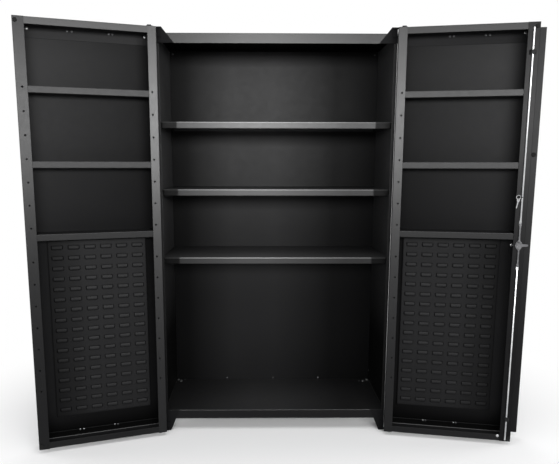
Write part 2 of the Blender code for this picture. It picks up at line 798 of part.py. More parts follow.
def build_latch(axis, place, skin):
    around = (LATCH_U, LATCH_HEIGHT)
    hole_radius = SPINDLE_RADIUS + SPINDLE_FIT
    ends = (SKIN_BACK - CUT_OVERRUN, DOOR_DEPTH + CUT_OVERRUN)
    hole = post(hole_radius, *ends, ROUND_SIDES, around)
    combine(skin, [hole], place.uzv, "DIFFERENCE")
    flange_hole = post(hole_radius, -CUT_OVERRUN, 3 * SHEET, ROUND_SIDES, around)
    free = bpy.data.objects["free_stile_right"]
    combine(free, [flange_hole], place.uzv, "DIFFERENCE")

    strip_back = DOOR_DEPTH + SEAT_GAP
    strip_front = strip_back + ASTRAGAL_SHEET
    step_u = DOOR_WIDTH - ASTRAGAL_STEP_FROM
    path = [
        (DOOR_WIDTH - ASTRAGAL_LAP, strip_back),
        (step_u, strip_back),
        (step_u + ASTRAGAL_STEP_RUN, strip_back + ASTRAGAL_STEP),
        (DOOR_WIDTH + ASTRAGAL_REACH, strip_back + ASTRAGAL_STEP),
    ]
    shape = extruded(bent_sheet(path, ASTRAGAL_SHEET), DOOR_BOTTOM, DOOR_TOP)
    strip = add_piece("astragal_strip", shape, place.uvz, axis, BLACK_PAINT)
    ends = (strip_back - CUT_OVERRUN, strip_front + CUT_OVERRUN)
    hole = post(hole_radius, *ends, ROUND_SIDES, around)
    combine(strip, [hole], place.uzv, "DIFFERENCE")

    plate_back = strip_front + SEAT_GAP
    plate_front = plate_back + ESCUTCHEON_THICK
    rim = ESCUTCHEON_THICK / 2
    profile = [
        (ESCUTCHEON_RADIUS, plate_back),
        (ESCUTCHEON_RADIUS, plate_back + rim),
        (ESCUTCHEON_RADIUS - rim, plate_front),
    ]
    shape = turned(profile, ROUND_SIDES, around)
    plate = add_piece("handle_escutcheon", shape, place.uzv, axis, DARK_STEEL, smooth=True)
    ends = (plate_back - CUT_OVERRUN, plate_front + CUT_OVERRUN)
    hole = post(hole_radius, *ends, ROUND_SIDES, around)
    combine(plate, [hole], place.uzv, "DIFFERENCE")

    for word, z in GUIDE_HEIGHTS.items():
        inside = ROD_RADIUS + GUIDE_FIT
        near = ROD_V - inside - GUIDE_WALL
        outline = [
            (LATCH_U - GUIDE_WIDTH / 2, -SEAT_GAP),
            (LATCH_U - inside - GUIDE_WALL, near),
            (LATCH_U + inside + GUIDE_WALL, near),
            (LATCH_U + GUIDE_WIDTH / 2, -SEAT_GAP),
        ]
        shape = extruded(outline, z - GUIDE_TALL / 2, z + GUIDE_TALL / 2)
        guide = add_piece(f"rod_guide_{word}", shape, place.uvz, axis, BLACK_PLASTIC)
        bore = post(inside, z - GUIDE_TALL, z + GUIDE_TALL, ROUND_SIDES, (LATCH_U, ROD_V))
        combine(guide, [bore], place.uvz, "DIFFERENCE")

    handle_at = place.uvz(LATCH_U, 0, LATCH_HEIGHT)
    handle = axis_at("handle_axis", handle_at, 0, axis)
    local = DoorPlace(place.side, LATCH_U, 0, LATCH_HEIGHT)
    lever_back = plate_front + SEAT_GAP

    def on_handle(a, b, c):
        return local.uvz(LATCH_U + a, c, LATCH_HEIGHT + b)

    outline = capsule(-LEVER_LENGTH, 0, LEVER_TIP, LEVER_HUB)
    shape = extruded(outline, lever_back, lever_back + LEVER_THICK)
    lever = add_piece("handle_lever", shape, on_handle, handle, DARK_STEEL)
    rounding = lever.modifiers.new("Bevel", "BEVEL")
    rounding.width = METRES_PER_MM * LEVER_THICK / 4
    rounding.segments = 2
    rounding.limit_method = "ANGLE"
    rounding.angle_limit = math.radians(60)
    shape = post(SPINDLE_RADIUS, CAM_OUT, lever_back - SEAT_GAP, ROUND_SIDES)
    add_piece("spindle", shape, on_handle, handle, BRIGHT_STEEL, smooth=True)
    shape = extruded(cam_outline(), CAM_OUT, -CAM_CLEAR)
    cam = add_piece("latch_cam", shape, on_handle, handle, DARK_STEEL)
    hole = post(hole_radius, CAM_OUT - CUT_OVERRUN, CUT_OVERRUN, ROUND_SIDES)
    combine(cam, [hole], on_handle, "DIFFERENCE")

    rods = {"upper": (1, UPPER_ROD_END), "lower": (-1, LOWER_ROD_END)}
    for word, (way, tip) in rods.items():
        pin_z = LATCH_HEIGHT + way * ROD_PIN
        rod_axis = axis_at(f"{word}_rod_axis", place.uvz(LATCH_U, ROD_V, pin_z), 0, axis)
        rod_place = DoorPlace(place.side, LATCH_U, ROD_V, pin_z)
        round_start = pin_z + way * (ROD_FLAT - ROD_FLAT_LAP)
        ends = sorted((round_start, tip))
        shape = post(ROD_RADIUS, ends[0], ends[1], ROUND_SIDES, (LATCH_U, ROD_V))
        rod = add_piece(f"{word}_rod", shape, rod_place.uvz, rod_axis, BRIGHT_STEEL, smooth=True)
        flat_ends = sorted((pin_z - way * ROD_FLAT_LAP, pin_z + way * ROD_FLAT))
        flat_low = (LATCH_U - LINK_WIDTH / 2, CAM_OUT, flat_ends[0])
        flat_high = (LATCH_U + LINK_WIDTH / 2, CAM_OUT + LINK_SHEET, flat_ends[1])
        combine(rod, [block(flat_low, flat_high)], rod_place.uvz, "UNION")

        link_axis = axis_at(f"{word}_link_axis", (0, 0, 0), 0, rod_axis)
        link_z = pin_z - way * LINK_LENGTH
        span = sorted((pin_z, link_z))
        outline = [(LATCH_U + a, b) for a, b in capsule(*span, LINK_WIDTH / 2, LINK_WIDTH / 2)]
        shape = extruded(outline, LINK_OUT, LINK_IN)
        name = f"{word}_link"
        link = add_piece(name, shape, rod_place.uzv, link_axis, DARK_STEEL, smooth=True)
        heads = []
        for z in span:
            low_v = LINK_OUT - RIVET_PROUD
            high_v = LINK_OUT + LINK_SHEET / 3
            heads.append(post(RIVET_RADIUS, low_v, high_v, ROUND_SIDES // 2, (LATCH_U, z)))
        combine(link, heads, rod_place.uzv, "UNION")


def put_origin_under_middle():
    """Moves the whole part so that the middle of its footprint is at the origin."""
    bpy.context.view_layer.update()
    graph = bpy.context.evaluated_depsgraph_get()
    lows = []
    highs = []
    for piece in bpy.data.objects:
        if piece.type != "MESH" or piece.hide_render:
            continue
        seen = piece.evaluated_get(graph)
        mesh = seen.to_mesh()
        points = np.empty(3 * len(mesh.vertices))
        mesh.vertices.foreach_get("co", points)
        seen.to_mesh_clear()
        world = np.array(piece.matrix_world)
        points = points.reshape(-1, 3) @ world[:3, :3].T + world[:3, 3]
        lows.append(points.min(axis=0))
        highs.append(points.max(axis=0))
    low = np.min(lows, axis=0)
    high = np.max(highs, axis=0)
    frame.location = (-(low[0] + high[0]) / 2, -(low[1] + high[1]) / 2, -low[2])
    bpy.context.view_layer.update()


build_shell()
build_gussets()
build_shelves()
build_pivots()
for door_word, door_side in SIDES.items():
    opened = -LEFT_OPEN if door_word == "left" else RIGHT_OPEN
    pivot = (door_side * PIVOT_X, PIVOT_Y, 0)
    door_axis = axis_at(f"{door_word}_door_axis", pivot, opened, frame)
    door_place = DoorPlace(door_side, PIVOT_FROM_EDGE, PIVOT_FROM_FACE, 0)
    door_skin, door_free = build_door(door_word, door_axis, door_place)
    if door_word == "right":
        build_latch(door_axis, door_place, door_skin)
put_origin_under_middle()
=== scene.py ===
"""Bin and shelf cabinet in black powder coat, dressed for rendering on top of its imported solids.

Lengths in the named values are millimetres. Body points are X to the right, Y to the back from
the front plane of the body and Z up. Door points are u from the hinge edge to the free edge,
v from the inner face to the front and z up, as on the drawing of the part.
"""

import json
import math

import bmesh
import bpy
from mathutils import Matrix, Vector


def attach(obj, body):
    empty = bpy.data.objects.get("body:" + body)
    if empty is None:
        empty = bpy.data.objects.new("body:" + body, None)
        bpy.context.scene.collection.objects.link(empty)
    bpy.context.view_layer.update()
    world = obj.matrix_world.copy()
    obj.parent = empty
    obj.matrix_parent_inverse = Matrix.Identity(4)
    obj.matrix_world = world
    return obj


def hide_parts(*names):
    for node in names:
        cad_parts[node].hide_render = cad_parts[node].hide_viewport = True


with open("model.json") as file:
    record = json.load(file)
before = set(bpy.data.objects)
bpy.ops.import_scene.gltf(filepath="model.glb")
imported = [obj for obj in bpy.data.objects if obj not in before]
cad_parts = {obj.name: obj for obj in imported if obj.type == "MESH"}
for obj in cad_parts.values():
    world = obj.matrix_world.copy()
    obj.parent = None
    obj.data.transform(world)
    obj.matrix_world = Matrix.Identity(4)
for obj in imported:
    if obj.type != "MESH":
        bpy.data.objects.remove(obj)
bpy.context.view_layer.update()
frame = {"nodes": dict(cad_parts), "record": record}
scene = bpy.context.scene
scene.view_settings.view_transform = "Standard"

MM = 0.001
GAP = 0.3

# Sizes shared with the solids
SHEET = 1.5
HALF_BODY = 564.0
BODY_DEPTH = 455.0
BACK_INSIDE = 453.9
FLOOR_FACE = 109.0
SHELF_TOPS = (1554.0, 1234.0, 899.0)
DOOR_WIDTH = 605.0
DOOR_DEPTH = 113.4
HINGE_FLANGE = 40.0
FREE_FLANGE = {"left": 47.0, "right": 51.0}
FRAME_FRONT = 112.2
PANEL_MIDDLE_U = 290.0
PANEL_BOTTOM = 132.0
PANEL_TOP = 999.5
PANEL_HALF = 227.0
PANEL_FACE = 98.5
PANEL_SHEET = 1.2
LATCH_U = 578.5
LATCH_Z = 987.0
ROD_V = -5.3
ROD_RADIUS = 4.0
ROD_PIN = 94.0
ROD_TIPS = {"upper": 1947.0, "lower": 28.6}
LINK_LENGTH = 78.0
LINK_INNER = -4.8
LINK_OUTER = -7.8
PLATE_INNER = -0.8
PLATE_OUTER = -4.3
SPINDLE_BORE = 6.4
PIVOT_U = 26.5
PIVOT_V = 31.5
PIVOT_Y = -42.0

# Where the pivots stand in the frame, and how far each door is open there
PIVOTS = {}
for joint in frame["record"]["behaviour"]["joints"]:
    if joint["name"].endswith("_door_swing"):
        PIVOTS[joint["name"].split("_")[0]] = joint["pos_m"]
BODY_SHIFT = (
    (PIVOTS["left"][0] + PIVOTS["right"][0]) / 2,
    PIVOTS["left"][1] - MM * PIVOT_Y,
)
OPEN = {"left": math.radians(161.0), "right": math.radians(168.5)}
SIDES = {"left": -1, "right": 1}
ACROSS = {}
THROUGH = {}
for word, side in SIDES.items():
    ACROSS[word] = Vector((-side * math.cos(OPEN[word]), -math.sin(OPEN[word]), 0))
    THROUGH[word] = Vector((side * math.sin(OPEN[word]), -math.cos(OPEN[word]), 0))
UP = Vector((0, 0, 1))


def body_point(x, y, z):
    """A point of the body in metres in the frame."""
    return Vector((MM * x + BODY_SHIFT[0], MM * y + BODY_SHIFT[1], MM * z))


def door_point(side, u, v, z):
    """A point of a door, as it stands open, in metres in the frame."""
    hinge = Vector((PIVOTS[side][0], PIVOTS[side][1], 0))
    return hinge + MM * ((u - PIVOT_U) * ACROSS[side] + (v - PIVOT_V) * THROUGH[side] + z * UP)


# ---------------------------------------------------------------- camera and studio

def set_camera():
    lens = bpy.data.cameras.new("camera")
    lens.sensor_width = 36.0
    lens.lens = 38.48
    lens.shift_x = 0.0270
    lens.shift_y = 0.0605
    lens.clip_end = 60.0
    camera = bpy.data.objects.new("camera", lens)
    camera.location = body_point(-90.3, -2909.9, 1350.6)
    camera.rotation_euler = (math.pi / 2 - 0.1669, -0.0017, -0.0116)
    scene.collection.objects.link(camera)
    scene.camera = camera


def math_node(tree, operation, first, second):
    made = tree.nodes.new("ShaderNodeMath")
    made.operation = operation
    tree.links.new(first, made.inputs[0])
    tree.links.new(second, made.inputs[1])
    return made.outputs[0]


def seen_directly(tree):
    """One for rays from the camera, from a mirror-like surface or through glass."""
    ray = tree.nodes.new("ShaderNodeLightPath").outputs
    seen = math_node(tree, "MAXIMUM", ray["Is Camera Ray"], ray["Is Glossy Ray"])
    return math_node(tree, "MAXIMUM", seen, ray["Is Transmission Ray"])


def set_world():
    world = bpy.data.worlds.new("white_studio")
    scene.world = world
    world.use_nodes = True
    nodes = world.node_tree.nodes
    links = world.node_tree.links
    nodes.clear()
    out = nodes.new("ShaderNodeOutputWorld")
    mix = nodes.new("ShaderNodeMixShader")
    fill = nodes.new("ShaderNodeBackground")
    fill.inputs["Color"].default_value = (0.86, 0.87, 0.9, 1)
    fill.inputs["Strength"].default_value = 0.25
    white = nodes.new("ShaderNodeBackground")
    white.inputs["Color"].default_value = (1, 1, 1, 1)
    white.inputs["Strength"].default_value = 1.0
    links.new(seen_directly(world.node_tree), mix.inputs[0])
    links.new(fill.outputs[0], mix.inputs[1])
    links.new(white.outputs[0], mix.inputs[2])
    links.new(mix.outputs[0], out.inputs[0])


def set_floor():
    mesh = bpy.data.meshes.new("studio_floor")
    reach = 9.0
    corners = [(-reach, -reach, 0), (reach, -reach, 0), (reach, reach, 0), (-reach, reach, 0)]
    mesh.from_pydata(corners, [], [(0, 1, 2, 3)])
    floor = bpy.data.objects.new("studio_floor", mesh)
    floor.location = (0, 0, -0.0004)
    scene.collection.objects.link(floor)
    paper = bpy.data.materials.new("studio_paper")
    paper.use_nodes = True
    nodes = paper.node_tree.nodes
    links = paper.node_tree.links
    nodes.clear()
    out = nodes.new("ShaderNodeOutputMaterial")
    mix = nodes.new("ShaderNodeMixShader")
    matt = nodes.new("ShaderNodeBsdfDiffuse")
    matt.inputs["Color"].default_value = (0.93, 0.93, 0.93, 1)
    glow = nodes.new("ShaderNodeEmission")
    glow.inputs["Color"].default_value = (1, 1, 1, 1)
    glow.inputs["Strength"].default_value = 1.0
    place = nodes.new("ShaderNodeTexCoord")
    length = nodes.new("ShaderNodeVectorMath")
    length.operation = "LENGTH"
    fade = nodes.new("ShaderNodeMapRange")
    fade.interpolation_type = "SMOOTHSTEP"
    fade.inputs["From Min"].default_value = 0.9
    fade.inputs["From Max"].default_value = 2.1
    links.new(place.outputs["Object"], length.inputs[0])
    links.new(length.outputs["Value"], fade.inputs["Value"])
    seen = seen_directly(paper.node_tree)
    glowing = math_node(paper.node_tree, "MULTIPLY", seen, fade.outputs["Result"])
    links.new(glowing, mix.inputs[0])
    links.new(matt.outputs[0], mix.inputs[1])
    links.new(glow.outputs[0], mix.inputs[2])
    links.new(mix.outputs[0], out.inputs[0])
    mesh.materials.append(paper)


def add_softbox(name, at, aim, wide, tall, power):
    light = bpy.data.lights.new(name, "AREA")
    light.shape = "RECTANGLE"
    light.size = wide
    light.size_y = tall
    light.energy = power
    box = bpy.data.objects.new(name, light)
    box.location = at
    box.rotation_euler = (Vector(aim) - Vector(at)).to_track_quat("-Z", "Y").to_euler()
    scene.collection.objects.link(box)


set_camera()
set_world()
set_floor()
add_softbox("front_softbox", (0.6, -4.6, 1.95), (0.0, 0.0, 1.5), 4.8, 0.7, 265.0)
add_softbox("overhead_softbox", (0.0, -1.7, 4.4), (0.0, 0.1, 0.4), 3.6, 2.4, 75.0)
add_softbox("left_softbox", (-4.6, 0.6, 2.6), (0.0, 0.0, 1.0), 2.0, 2.4, 40.0)
add_softbox("right_softbox", (4.6, 0.6, 2.6), (0.0, 0.0, 1.0), 2.0, 2.4, 40.0)
add_softbox("back_softbox", (0.0, 4.2, 3.0), (0.0, 0.0, 1.0), 4.0, 1.6, 60.0)


# ---------------------------------------------------------------- materials

class Finish:
    """A procedural material on the piece's own coordinates, built node by node."""

    def __init__(self, name):
        self.material = bpy.data.materials.new(name)
        self.material.use_nodes = True
        self.nodes = self.material.node_tree.nodes
        self.links = self.material.node_tree.links
        self.shader = self.nodes["Principled BSDF"]
        self.place = self.nodes.new("ShaderNodeTexCoord").outputs["Object"]

    def stretched(self, x, y, z):
        mapping = self.nodes.new("ShaderNodeMapping")
        mapping.inputs["Scale"].default_value = (x, y, z)
        self.links.new(self.place, mapping.inputs["Vector"])
        return mapping.outputs["Vector"]

    def noise(self, scale, detail, rough, at=None):
        made = self.nodes.new("ShaderNodeTexNoise")
        made.inputs["Scale"].default_value = scale
        made.inputs["Detail"].default_value = detail
        made.inputs["Roughness"].default_value = rough
        self.links.new(at or self.place, made.inputs["Vector"])
        return made.outputs["Fac"]

    def ranged(self, value, low, high, start=0.0, end=1.0):
        made = self.nodes.new("ShaderNodeMapRange")
        made.inputs["From Min"].default_value = start
        made.inputs["From Max"].default_value = end
        made.inputs["To Min"].default_value = low
        made.inputs["To Max"].default_value = high
        self.links.new(value, made.inputs["Value"])
        return made.outputs["Result"]

    def blended(self, share, low, high):
        made = self.nodes.new("ShaderNodeMix")
        made.data_type = "RGBA"
        self.links.new(share, made.inputs[0])
        for socket, value in ((made.inputs[6], low), (made.inputs[7], high)):
            if isinstance(value, tuple):
                socket.default_value = (*value, 1)
            else:
                self.links.new(value, socket)
        return made.outputs[2]

    def product(self, first, second):
        return math_node(self.material.node_tree, "MULTIPLY", first, second)

    def total(self, first, second):
        return math_node(self.material.node_tree, "ADD", first, second)

    def dot(self, first, second):
        made = self.nodes.new("ShaderNodeVectorMath")
        made.operation = "DOT_PRODUCT"
        self.links.new(first, made.inputs[0])
        if isinstance(second, bpy.types.NodeSocket):
            self.links.new(second, made.inputs[1])
        else:
            made.inputs[1].default_value = second
        return made.outputs["Value"]

    def facing(self):
        return self.nodes.new("ShaderNodeNewGeometry").outputs["Normal"]

    def softened(self, radius):
        made = self.nodes.new("ShaderNodeBevel")
        made.samples = 4
        made.inputs["Radius"].default_value = radius
        return made.outputs["Normal"]

    def edges(self, radius):
        """One on sharp edges and corners, falling to nothing within the radius."""
        return self.ranged(self.dot(self.softened(radius), self.facing()), 1.0, 0.0, 0.72, 0.97)

    def along(self, start, direction):
        """The distance in metres from a start point along a direction."""
        away = self.nodes.new("ShaderNodeVectorMath")
        away.operation = "SUBTRACT"
        away.inputs[1].default_value = start
        self.links.new(self.place, away.inputs[0])
        return self.dot(away.outputs["Vector"], direction)

    def facing_down(self):
        """One on faces that look down, nothing on upright faces and tops."""
        return self.ranged(self.dot(self.facing(), (0, 0, -1)), 0.0, 1.0, 0.6, 0.95)

    def within(self, value, low, high, rise, fall):
        """One between two limits, with a ramp at each end."""
        start = self.ranged(value, 0.0, 1.0, low, low + rise)
        end = self.ranged(value, 1.0, 0.0, high - fall, high)
        return self.product(start, end)

    def bump(self, height, distance, strength, before=None):
        made = self.nodes.new("ShaderNodeBump")
        made.inputs["Strength"].default_value = strength
        made.inputs["Distance"].default_value = distance
        self.links.new(height, made.inputs["Height"])
        if before:
            self.links.new(before, made.inputs["Normal"])
        return made.outputs["Normal"]

    def set(self, **inputs):
        for word, value in inputs.items():
            socket = self.shader.inputs[word.replace("_", " ")]
            if isinstance(value, bpy.types.NodeSocket):
                self.links.new(value, socket)
            else:
                socket.default_value = value
        return self.material


BLACK = (0.0015, 0.0015, 0.0015)
OUTER_TONE = (0.0055, 0.0055, 0.0058)
CLOUD_TONE = (0.004, 0.004, 0.0043)
SPECK_TONE = (0.02, 0.02, 0.021)
WORN_TONE = (0.06, 0.058, 0.056)
# Tone of the painted shade on faces that look down
UNDER_TONE = (0.0022, 0.0022, 0.0023)
# Tone of the painted highlight along the front bends of the shelf lips
BEND_TONE = (0.23, 0.23, 0.23)
RECESS_START = 0.008
FINE = 0.0004


def powder_coat(name, box, tone, front, inside, **more):
    """Black powder coat, semi-gloss outside and thinner and duller in the recess of a box.

    The box is a corner, the ways across and through it, and its width and depth. Front and inside
    are the shine outside and in the recess. The rest is optional:
    low, fade: share of the shine left at the lower of two heights, and those heights
    flank: share of the shine left on the outer side walls
    edge, rub: rounding of the sheet's edges, and the pale tone of a painted highlight along them
    ramp: length over which the recess starts
    sink: two heights between which painted shade turns the coat black towards the foot
    shown: the width outside which painted shade leaves the coat black and without shine
    crease: two depths of a bend with a painted highlight, its tone, and the height below which
    painted shadow turns the leg behind it black
    bends: heights of front bends with a painted highlight, and the depth it reaches
    sheen: where across the recess painted light starts to brighten the coat, is brightest from and
    to, and has faded again, and the share left where it has faded
    ends: how far in from each end the painted shadow on a lip reaches, and the share left there; the
    sheen is then on the lip too
    Edge, ramp and the heights in bends are millimetres, the other lengths metres.
    """
    corner, across, through, wide, deep = box
    low = more.get("low", 1.0)
    fade = more.get("fade", (0.35, 1.25))
    flank = more.get("flank", 1.0)
    edge = MM * more.get("edge", 1.5)
    rub = more.get("rub")
    ramp = MM * more.get("ramp", 30.0)
    sink = more.get("sink")
    shown = more.get("shown")
    crease = more.get("crease")
    bends, reach = more.get("bends", ((), 0.0))
    sheen = more.get("sheen")
    ends = more.get("ends")
    made = Finish(name)
    cloud = made.noise(2.3, 4.0, 0.55)
    mottle = made.noise(38.0, 3.0, 0.6)
    peel = made.noise(620.0, 2.0, 0.5)
    speck = made.noise(1900.0, 1.0, 0.5)
    height = made.along((0, 0, 0), UP)
    aside = made.along(corner, across)
    side_to_side = made.within(aside, 0.0007, wide - 0.0007, 0.0003, 0.0003)
    inward = made.along(corner, through)
    front_to_back = made.within(inward, RECESS_START, deep, ramp, FINE)
    recess = made.product(side_to_side, front_to_back)
    down = made.facing_down()

    base = made.blended(recess, OUTER_TONE, tone)
    base = made.blended(made.ranged(cloud, 0.0, 0.25, 0.3, 0.7), base, CLOUD_TONE)
    base = made.blended(made.ranged(speck, 0.0, 0.35, 0.68, 0.76), base, SPECK_TONE)
    worn = made.product(made.edges(0.0009), made.ranged(mottle, 0.0, 0.5, 0.45, 0.72))
    base = made.blended(worn, base, WORN_TONE)
    # Painted highlight: the rounded edges are blended towards a pale tone, where light would catch
    # the bends.
    if rub:
        base = made.blended(made.edges(edge), base, (rub, rub, rub))
    # Painted highlight along the inner bend of the channel, and painted shadow that turns the leg
    # behind it black below a height.
    if crease:
        start, end, pale, top = crease
        base = made.blended(made.within(inward, start, end, FINE, FINE), base, (pale, pale, pale))
        leg = made.product(
            made.ranged(inward, 0.0, 1.0, end, end + 0.0003),
            made.ranged(height, 1.0, 0.0, top - 0.0005, top),
        )
        base = made.blended(leg, base, BLACK)
    # Painted highlight: a pale line along each front bend, near the front only.
    for top in bends:
        line = made.within(height, MM * top - 0.0043, MM * top + 0.001, 0.001, 0.0005)
        line = made.product(line, made.ranged(inward, 1.0, 0.0, reach - 0.002, reach))
        base = made.blended(line, base, BEND_TONE)
    # Painted shade: faces that look down are darkened towards a near-black tone.
    base = made.blended(down, base, UNDER_TONE)
    # Painted shade: the coat darkens to black towards the foot.
    if sink:
        base = made.blended(made.ranged(height, 0.0, 1.0, *sink), BLACK, base)

    rough = made.total(made.ranged(mottle, 0.34, 0.38, 0.3, 0.7), made.ranged(recess, 0.0, 0.1))
    rough = made.total(rough, made.ranged(side_to_side, 0.3 * (1 - flank), 0.0))
    # Faces that look down also keep little shine, as part of the painted shade under things.
    level = made.product(made.ranged(recess, front, inside), made.ranged(down, 1.0, 0.12))
    level = made.product(level, made.ranged(side_to_side, flank, 1.0))
    level = made.product(level, made.ranged(height, low, 1.0, *fade))
    # The leg under painted shadow also loses most of its shine.
    if crease:
        level = made.product(level, made.ranged(leg, 1.0, 0.25))

    shares = []
    # Painted shade: outside the span, behind the stiles' flanges, the coat is black.
    if shown:
        shares.append(made.within(aside, *shown, 0.0005, 0.0005))
    # Painted light: across the width the coat is blended towards black, with less shine, outside a
    # brighter band.
    if sheen:
        start, best, past, end, share = sheen
        dull = made.within(aside, start, end, best - start, end - past)
        dull = made.ranged(dull, 1.0 - share, 0.0)
        shares.append(made.ranged(dull if ends else made.product(dull, recess), 1.0, 0.0))
    # Painted shadow: the ends of a lip are blended towards black, on the lip only.
    if ends:
        start, share = ends
        shade = made.within(aside, start, wide - start, 0.006, 0.006)
        on_lip = made.ranged(recess, 1.0, 0.0, 0.25, 1.0)
        shade = made.product(made.ranged(shade, 1.0 - share, 0.0), on_lip)
        shares.append(made.ranged(shade, 1.0, 0.0))
    # Painted light and shade: each share blends the coat towards black and takes its shine.
    for share in shares:
        base = made.blended(share, BLACK, base)
        level = made.product(level, share)
    normal = made.bump(peel, 0.00006, 0.3, made.softened(edge))
    return made.set(Base_Color=base, Roughness=rough, Normal=normal, Specular_IOR_Level=level)


def zinc_plate(name, dull_ends):
    """Bright zinc on drawn bar: fine lines along the bar and cloudy patches.

    The flattened ends of the latch rods, near the cam, are darker where dull_ends is set.
    """
    made = Finish(name)
    lines = made.noise(1.0, 3.0, 0.6, made.stretched(1500.0, 1500.0, 9.0))
    cloud = made.noise(26.0, 3.0, 0.6)
    patches = made.ranged(cloud, 0.0, 1.0, 0.3, 0.7)
    base = made.blended(patches, (0.4, 0.405, 0.415), (0.58, 0.58, 0.58))
    if dull_ends:
        reach = MM * (ROD_PIN + 16.0)
        near = made.within(made.along((0, 0, MM * LATCH_Z), UP), -reach, reach, 0.012, 0.012)
        base = made.blended(near, base, (0.11, 0.11, 0.113))
    rough = made.ranged(lines, 0.2, 0.42, 0.3, 0.7)
    normal = made.bump(lines, 0.00003, 0.3)
    return made.set(Base_Color=base, Roughness=rough, Metallic=1.0, Normal=normal)


def dull_steel():
    """Oiled dark steel of stamped links, cam and lever, with bright rubs on its edges."""
    made = Finish("dull_steel")
    cloud = made.noise(60.0, 4.0, 0.65)
    grain = made.noise(1.0, 2.0, 0.5, made.stretched(900.0, 900.0, 120.0))
    patches = made.ranged(cloud, 0.0, 1.0, 0.3, 0.7)
    base = made.blended(patches, (0.05, 0.05, 0.052), (0.1, 0.1, 0.103))
    base = made.blended(made.edges(0.0009), base, (0.2, 0.2, 0.205))
    rough = made.ranged(grain, 0.32, 0.5, 0.3, 0.7)
    normal = made.bump(grain, 0.00004, 0.3, made.softened(0.0006))
    return made.set(Base_Color=base, Roughness=rough, Metallic=1.0, Normal=normal)


def moulded_plastic():
    """Black nylon with a fine spark-eroded grain."""
    made = Finish("moulded_plastic")
    grain = made.noise(1400.0, 2.0, 0.6)
    cloud = made.noise(70.0, 2.0, 0.5)
    patches = made.ranged(cloud, 0.0, 1.0, 0.3, 0.7)
    base = made.blended(patches, (0.004, 0.004, 0.0043), (0.008, 0.008, 0.0084))
    rough = made.ranged(grain, 0.46, 0.62, 0.3, 0.7)
    normal = made.bump(grain, 0.00005, 0.4, made.softened(0.0008))
    return made.set(Base_Color=base, Roughness=rough, Normal=normal, Specular_IOR_Level=0.12)


def bumper_rubber():
    """Dull black rubber with a chalky bloom."""
    made = Finish("bumper_rubber")
    bloom = made.noise(180.0, 4.0, 0.65)
    patches = made.ranged(bloom, 0.0, 1.0, 0.35, 0.75)
    base = made.blended(patches, (0.003, 0.003, 0.003), (0.009, 0.0088, 0.0086))
    rough = made.ranged(bloom, 0.65, 0.85, 0.3, 0.7)
    normal = made.bump(made.noise(900.0, 2.0, 0.5), 0.00005, 0.4)
    return made.set(Base_Color=base, Roughness=rough, Normal=normal, Specular_IOR_Level=0.15)


DARK = (0.009, 0.009, 0.0094)
FLOOR = (0.026, 0.026, 0.0265)
# Painted light: a lighter copy of the black coat for the inner side walls and the shelves, for the
# light that falls on them.
WALL = (0.055, 0.055, 0.056)


def body_box(front, depth):
    """A box as wide as the body, from a front plane and a depth."""
    return (body_point(-HALF_BODY, front, 0), (1, 0, 0), (0, 1, 0), 2 * MM * HALF_BODY, MM * depth)


BODY_BOX = body_box(0.0, BODY_DEPTH)
FLOOR_BOX = body_box(-7.5, BODY_DEPTH + 7.5)
EAR_BOX = body_box(-30.0, 60.0)
PAINTS = {
    "cabinet": powder_coat("body_paint", BODY_BOX, DARK, 0.46, 0.14),
    # Back panel: a painted light band across it, brightest near the middle.
    "back": powder_coat(
        "back_paint", BODY_BOX, DARK, 0.46, 0.2,
        low=0.4, fade=(0.6, 1.75), sheen=(0.08, 0.33, 0.57, 0.9, 0.31),
    ),
    # Shelves: the lighter painted-light tone, painted highlights along the front bends, painted
    # shadow on the lip ends and a painted light band across them.
    "shelves": powder_coat(
        "shelf_paint", BODY_BOX, WALL, 0.66, 0.14,
        low=0.62, fade=(0.9, 1.54), edge=3.0, bends=(SHELF_TOPS, 0.021),
        ends=(0.086, 0.22), sheen=(0.07, 0.38, 0.52, 0.92, 0.45),
    ),
    # Cabinet floor: a painted highlight along its edges and a painted light band across it.
    "floor": powder_coat(
        "floor_paint", FLOOR_BOX, FLOOR, 0.1, 0.12,
        edge=3.0, rub=0.5, ramp=2.0, sheen=(0.1, 0.44, 0.6, 0.92, 0.4),
    ),
    # Top panel: a painted light band across it, the lip included, with no painted shadow at the lip
    # ends.
    "top": powder_coat(
        "top_paint", BODY_BOX, DARK, 0.58, 0.14,
        ends=(0.0, 1.0), sheen=(0.0, 0.4, 0.54, 1.0, 0.55),
    ),
    # Side walls: the lighter painted-light tone, turned black by painted shade towards the foot.
    "walls": powder_coat("wall_paint", BODY_BOX, WALL, 0.3, 0.14, sink=(0.45, 1.3)),
    # Painted shade: the gussets, ear plates and pivot brackets take almost no shine, so they render
    # near-black.
    "gussets": powder_coat("gusset_paint", EAR_BOX, DARK, 0.015, 0.012),
}
# Painted light and shade: the same door parts get more shine on the left door than on the right, as
# lit and shaded copies of one coat.
HINGE_SHINE = {"left": 0.52, "right": 0.38}
FREE_SHINE = {"left": 0.27, "right": 0.11}
RAIL_SHINE = {"left": 0.44, "right": 0.27}
LEG_SHINE = {"left": 0.11, "right": 0.05}
LOUVER_SHINE = {"left": 0.1, "right": 0.075}
# Door skins: painted shade towards the foot and a painted light band, brighter towards the free edge;
# louver panels: a painted light band, darker towards the free edge.
SKIN_LOOK = {
    "low": 0.2, "fade": (0.95, 1.85), "sink": (0.05, 0.16), "sheen": (0.0, 0.52, 0.7, 0.9, 0.45),
}
LOUVER_LOOK = {"low": 0.85, "sheen": (-0.2, -0.1, 0.34, 0.56, 0.3)}
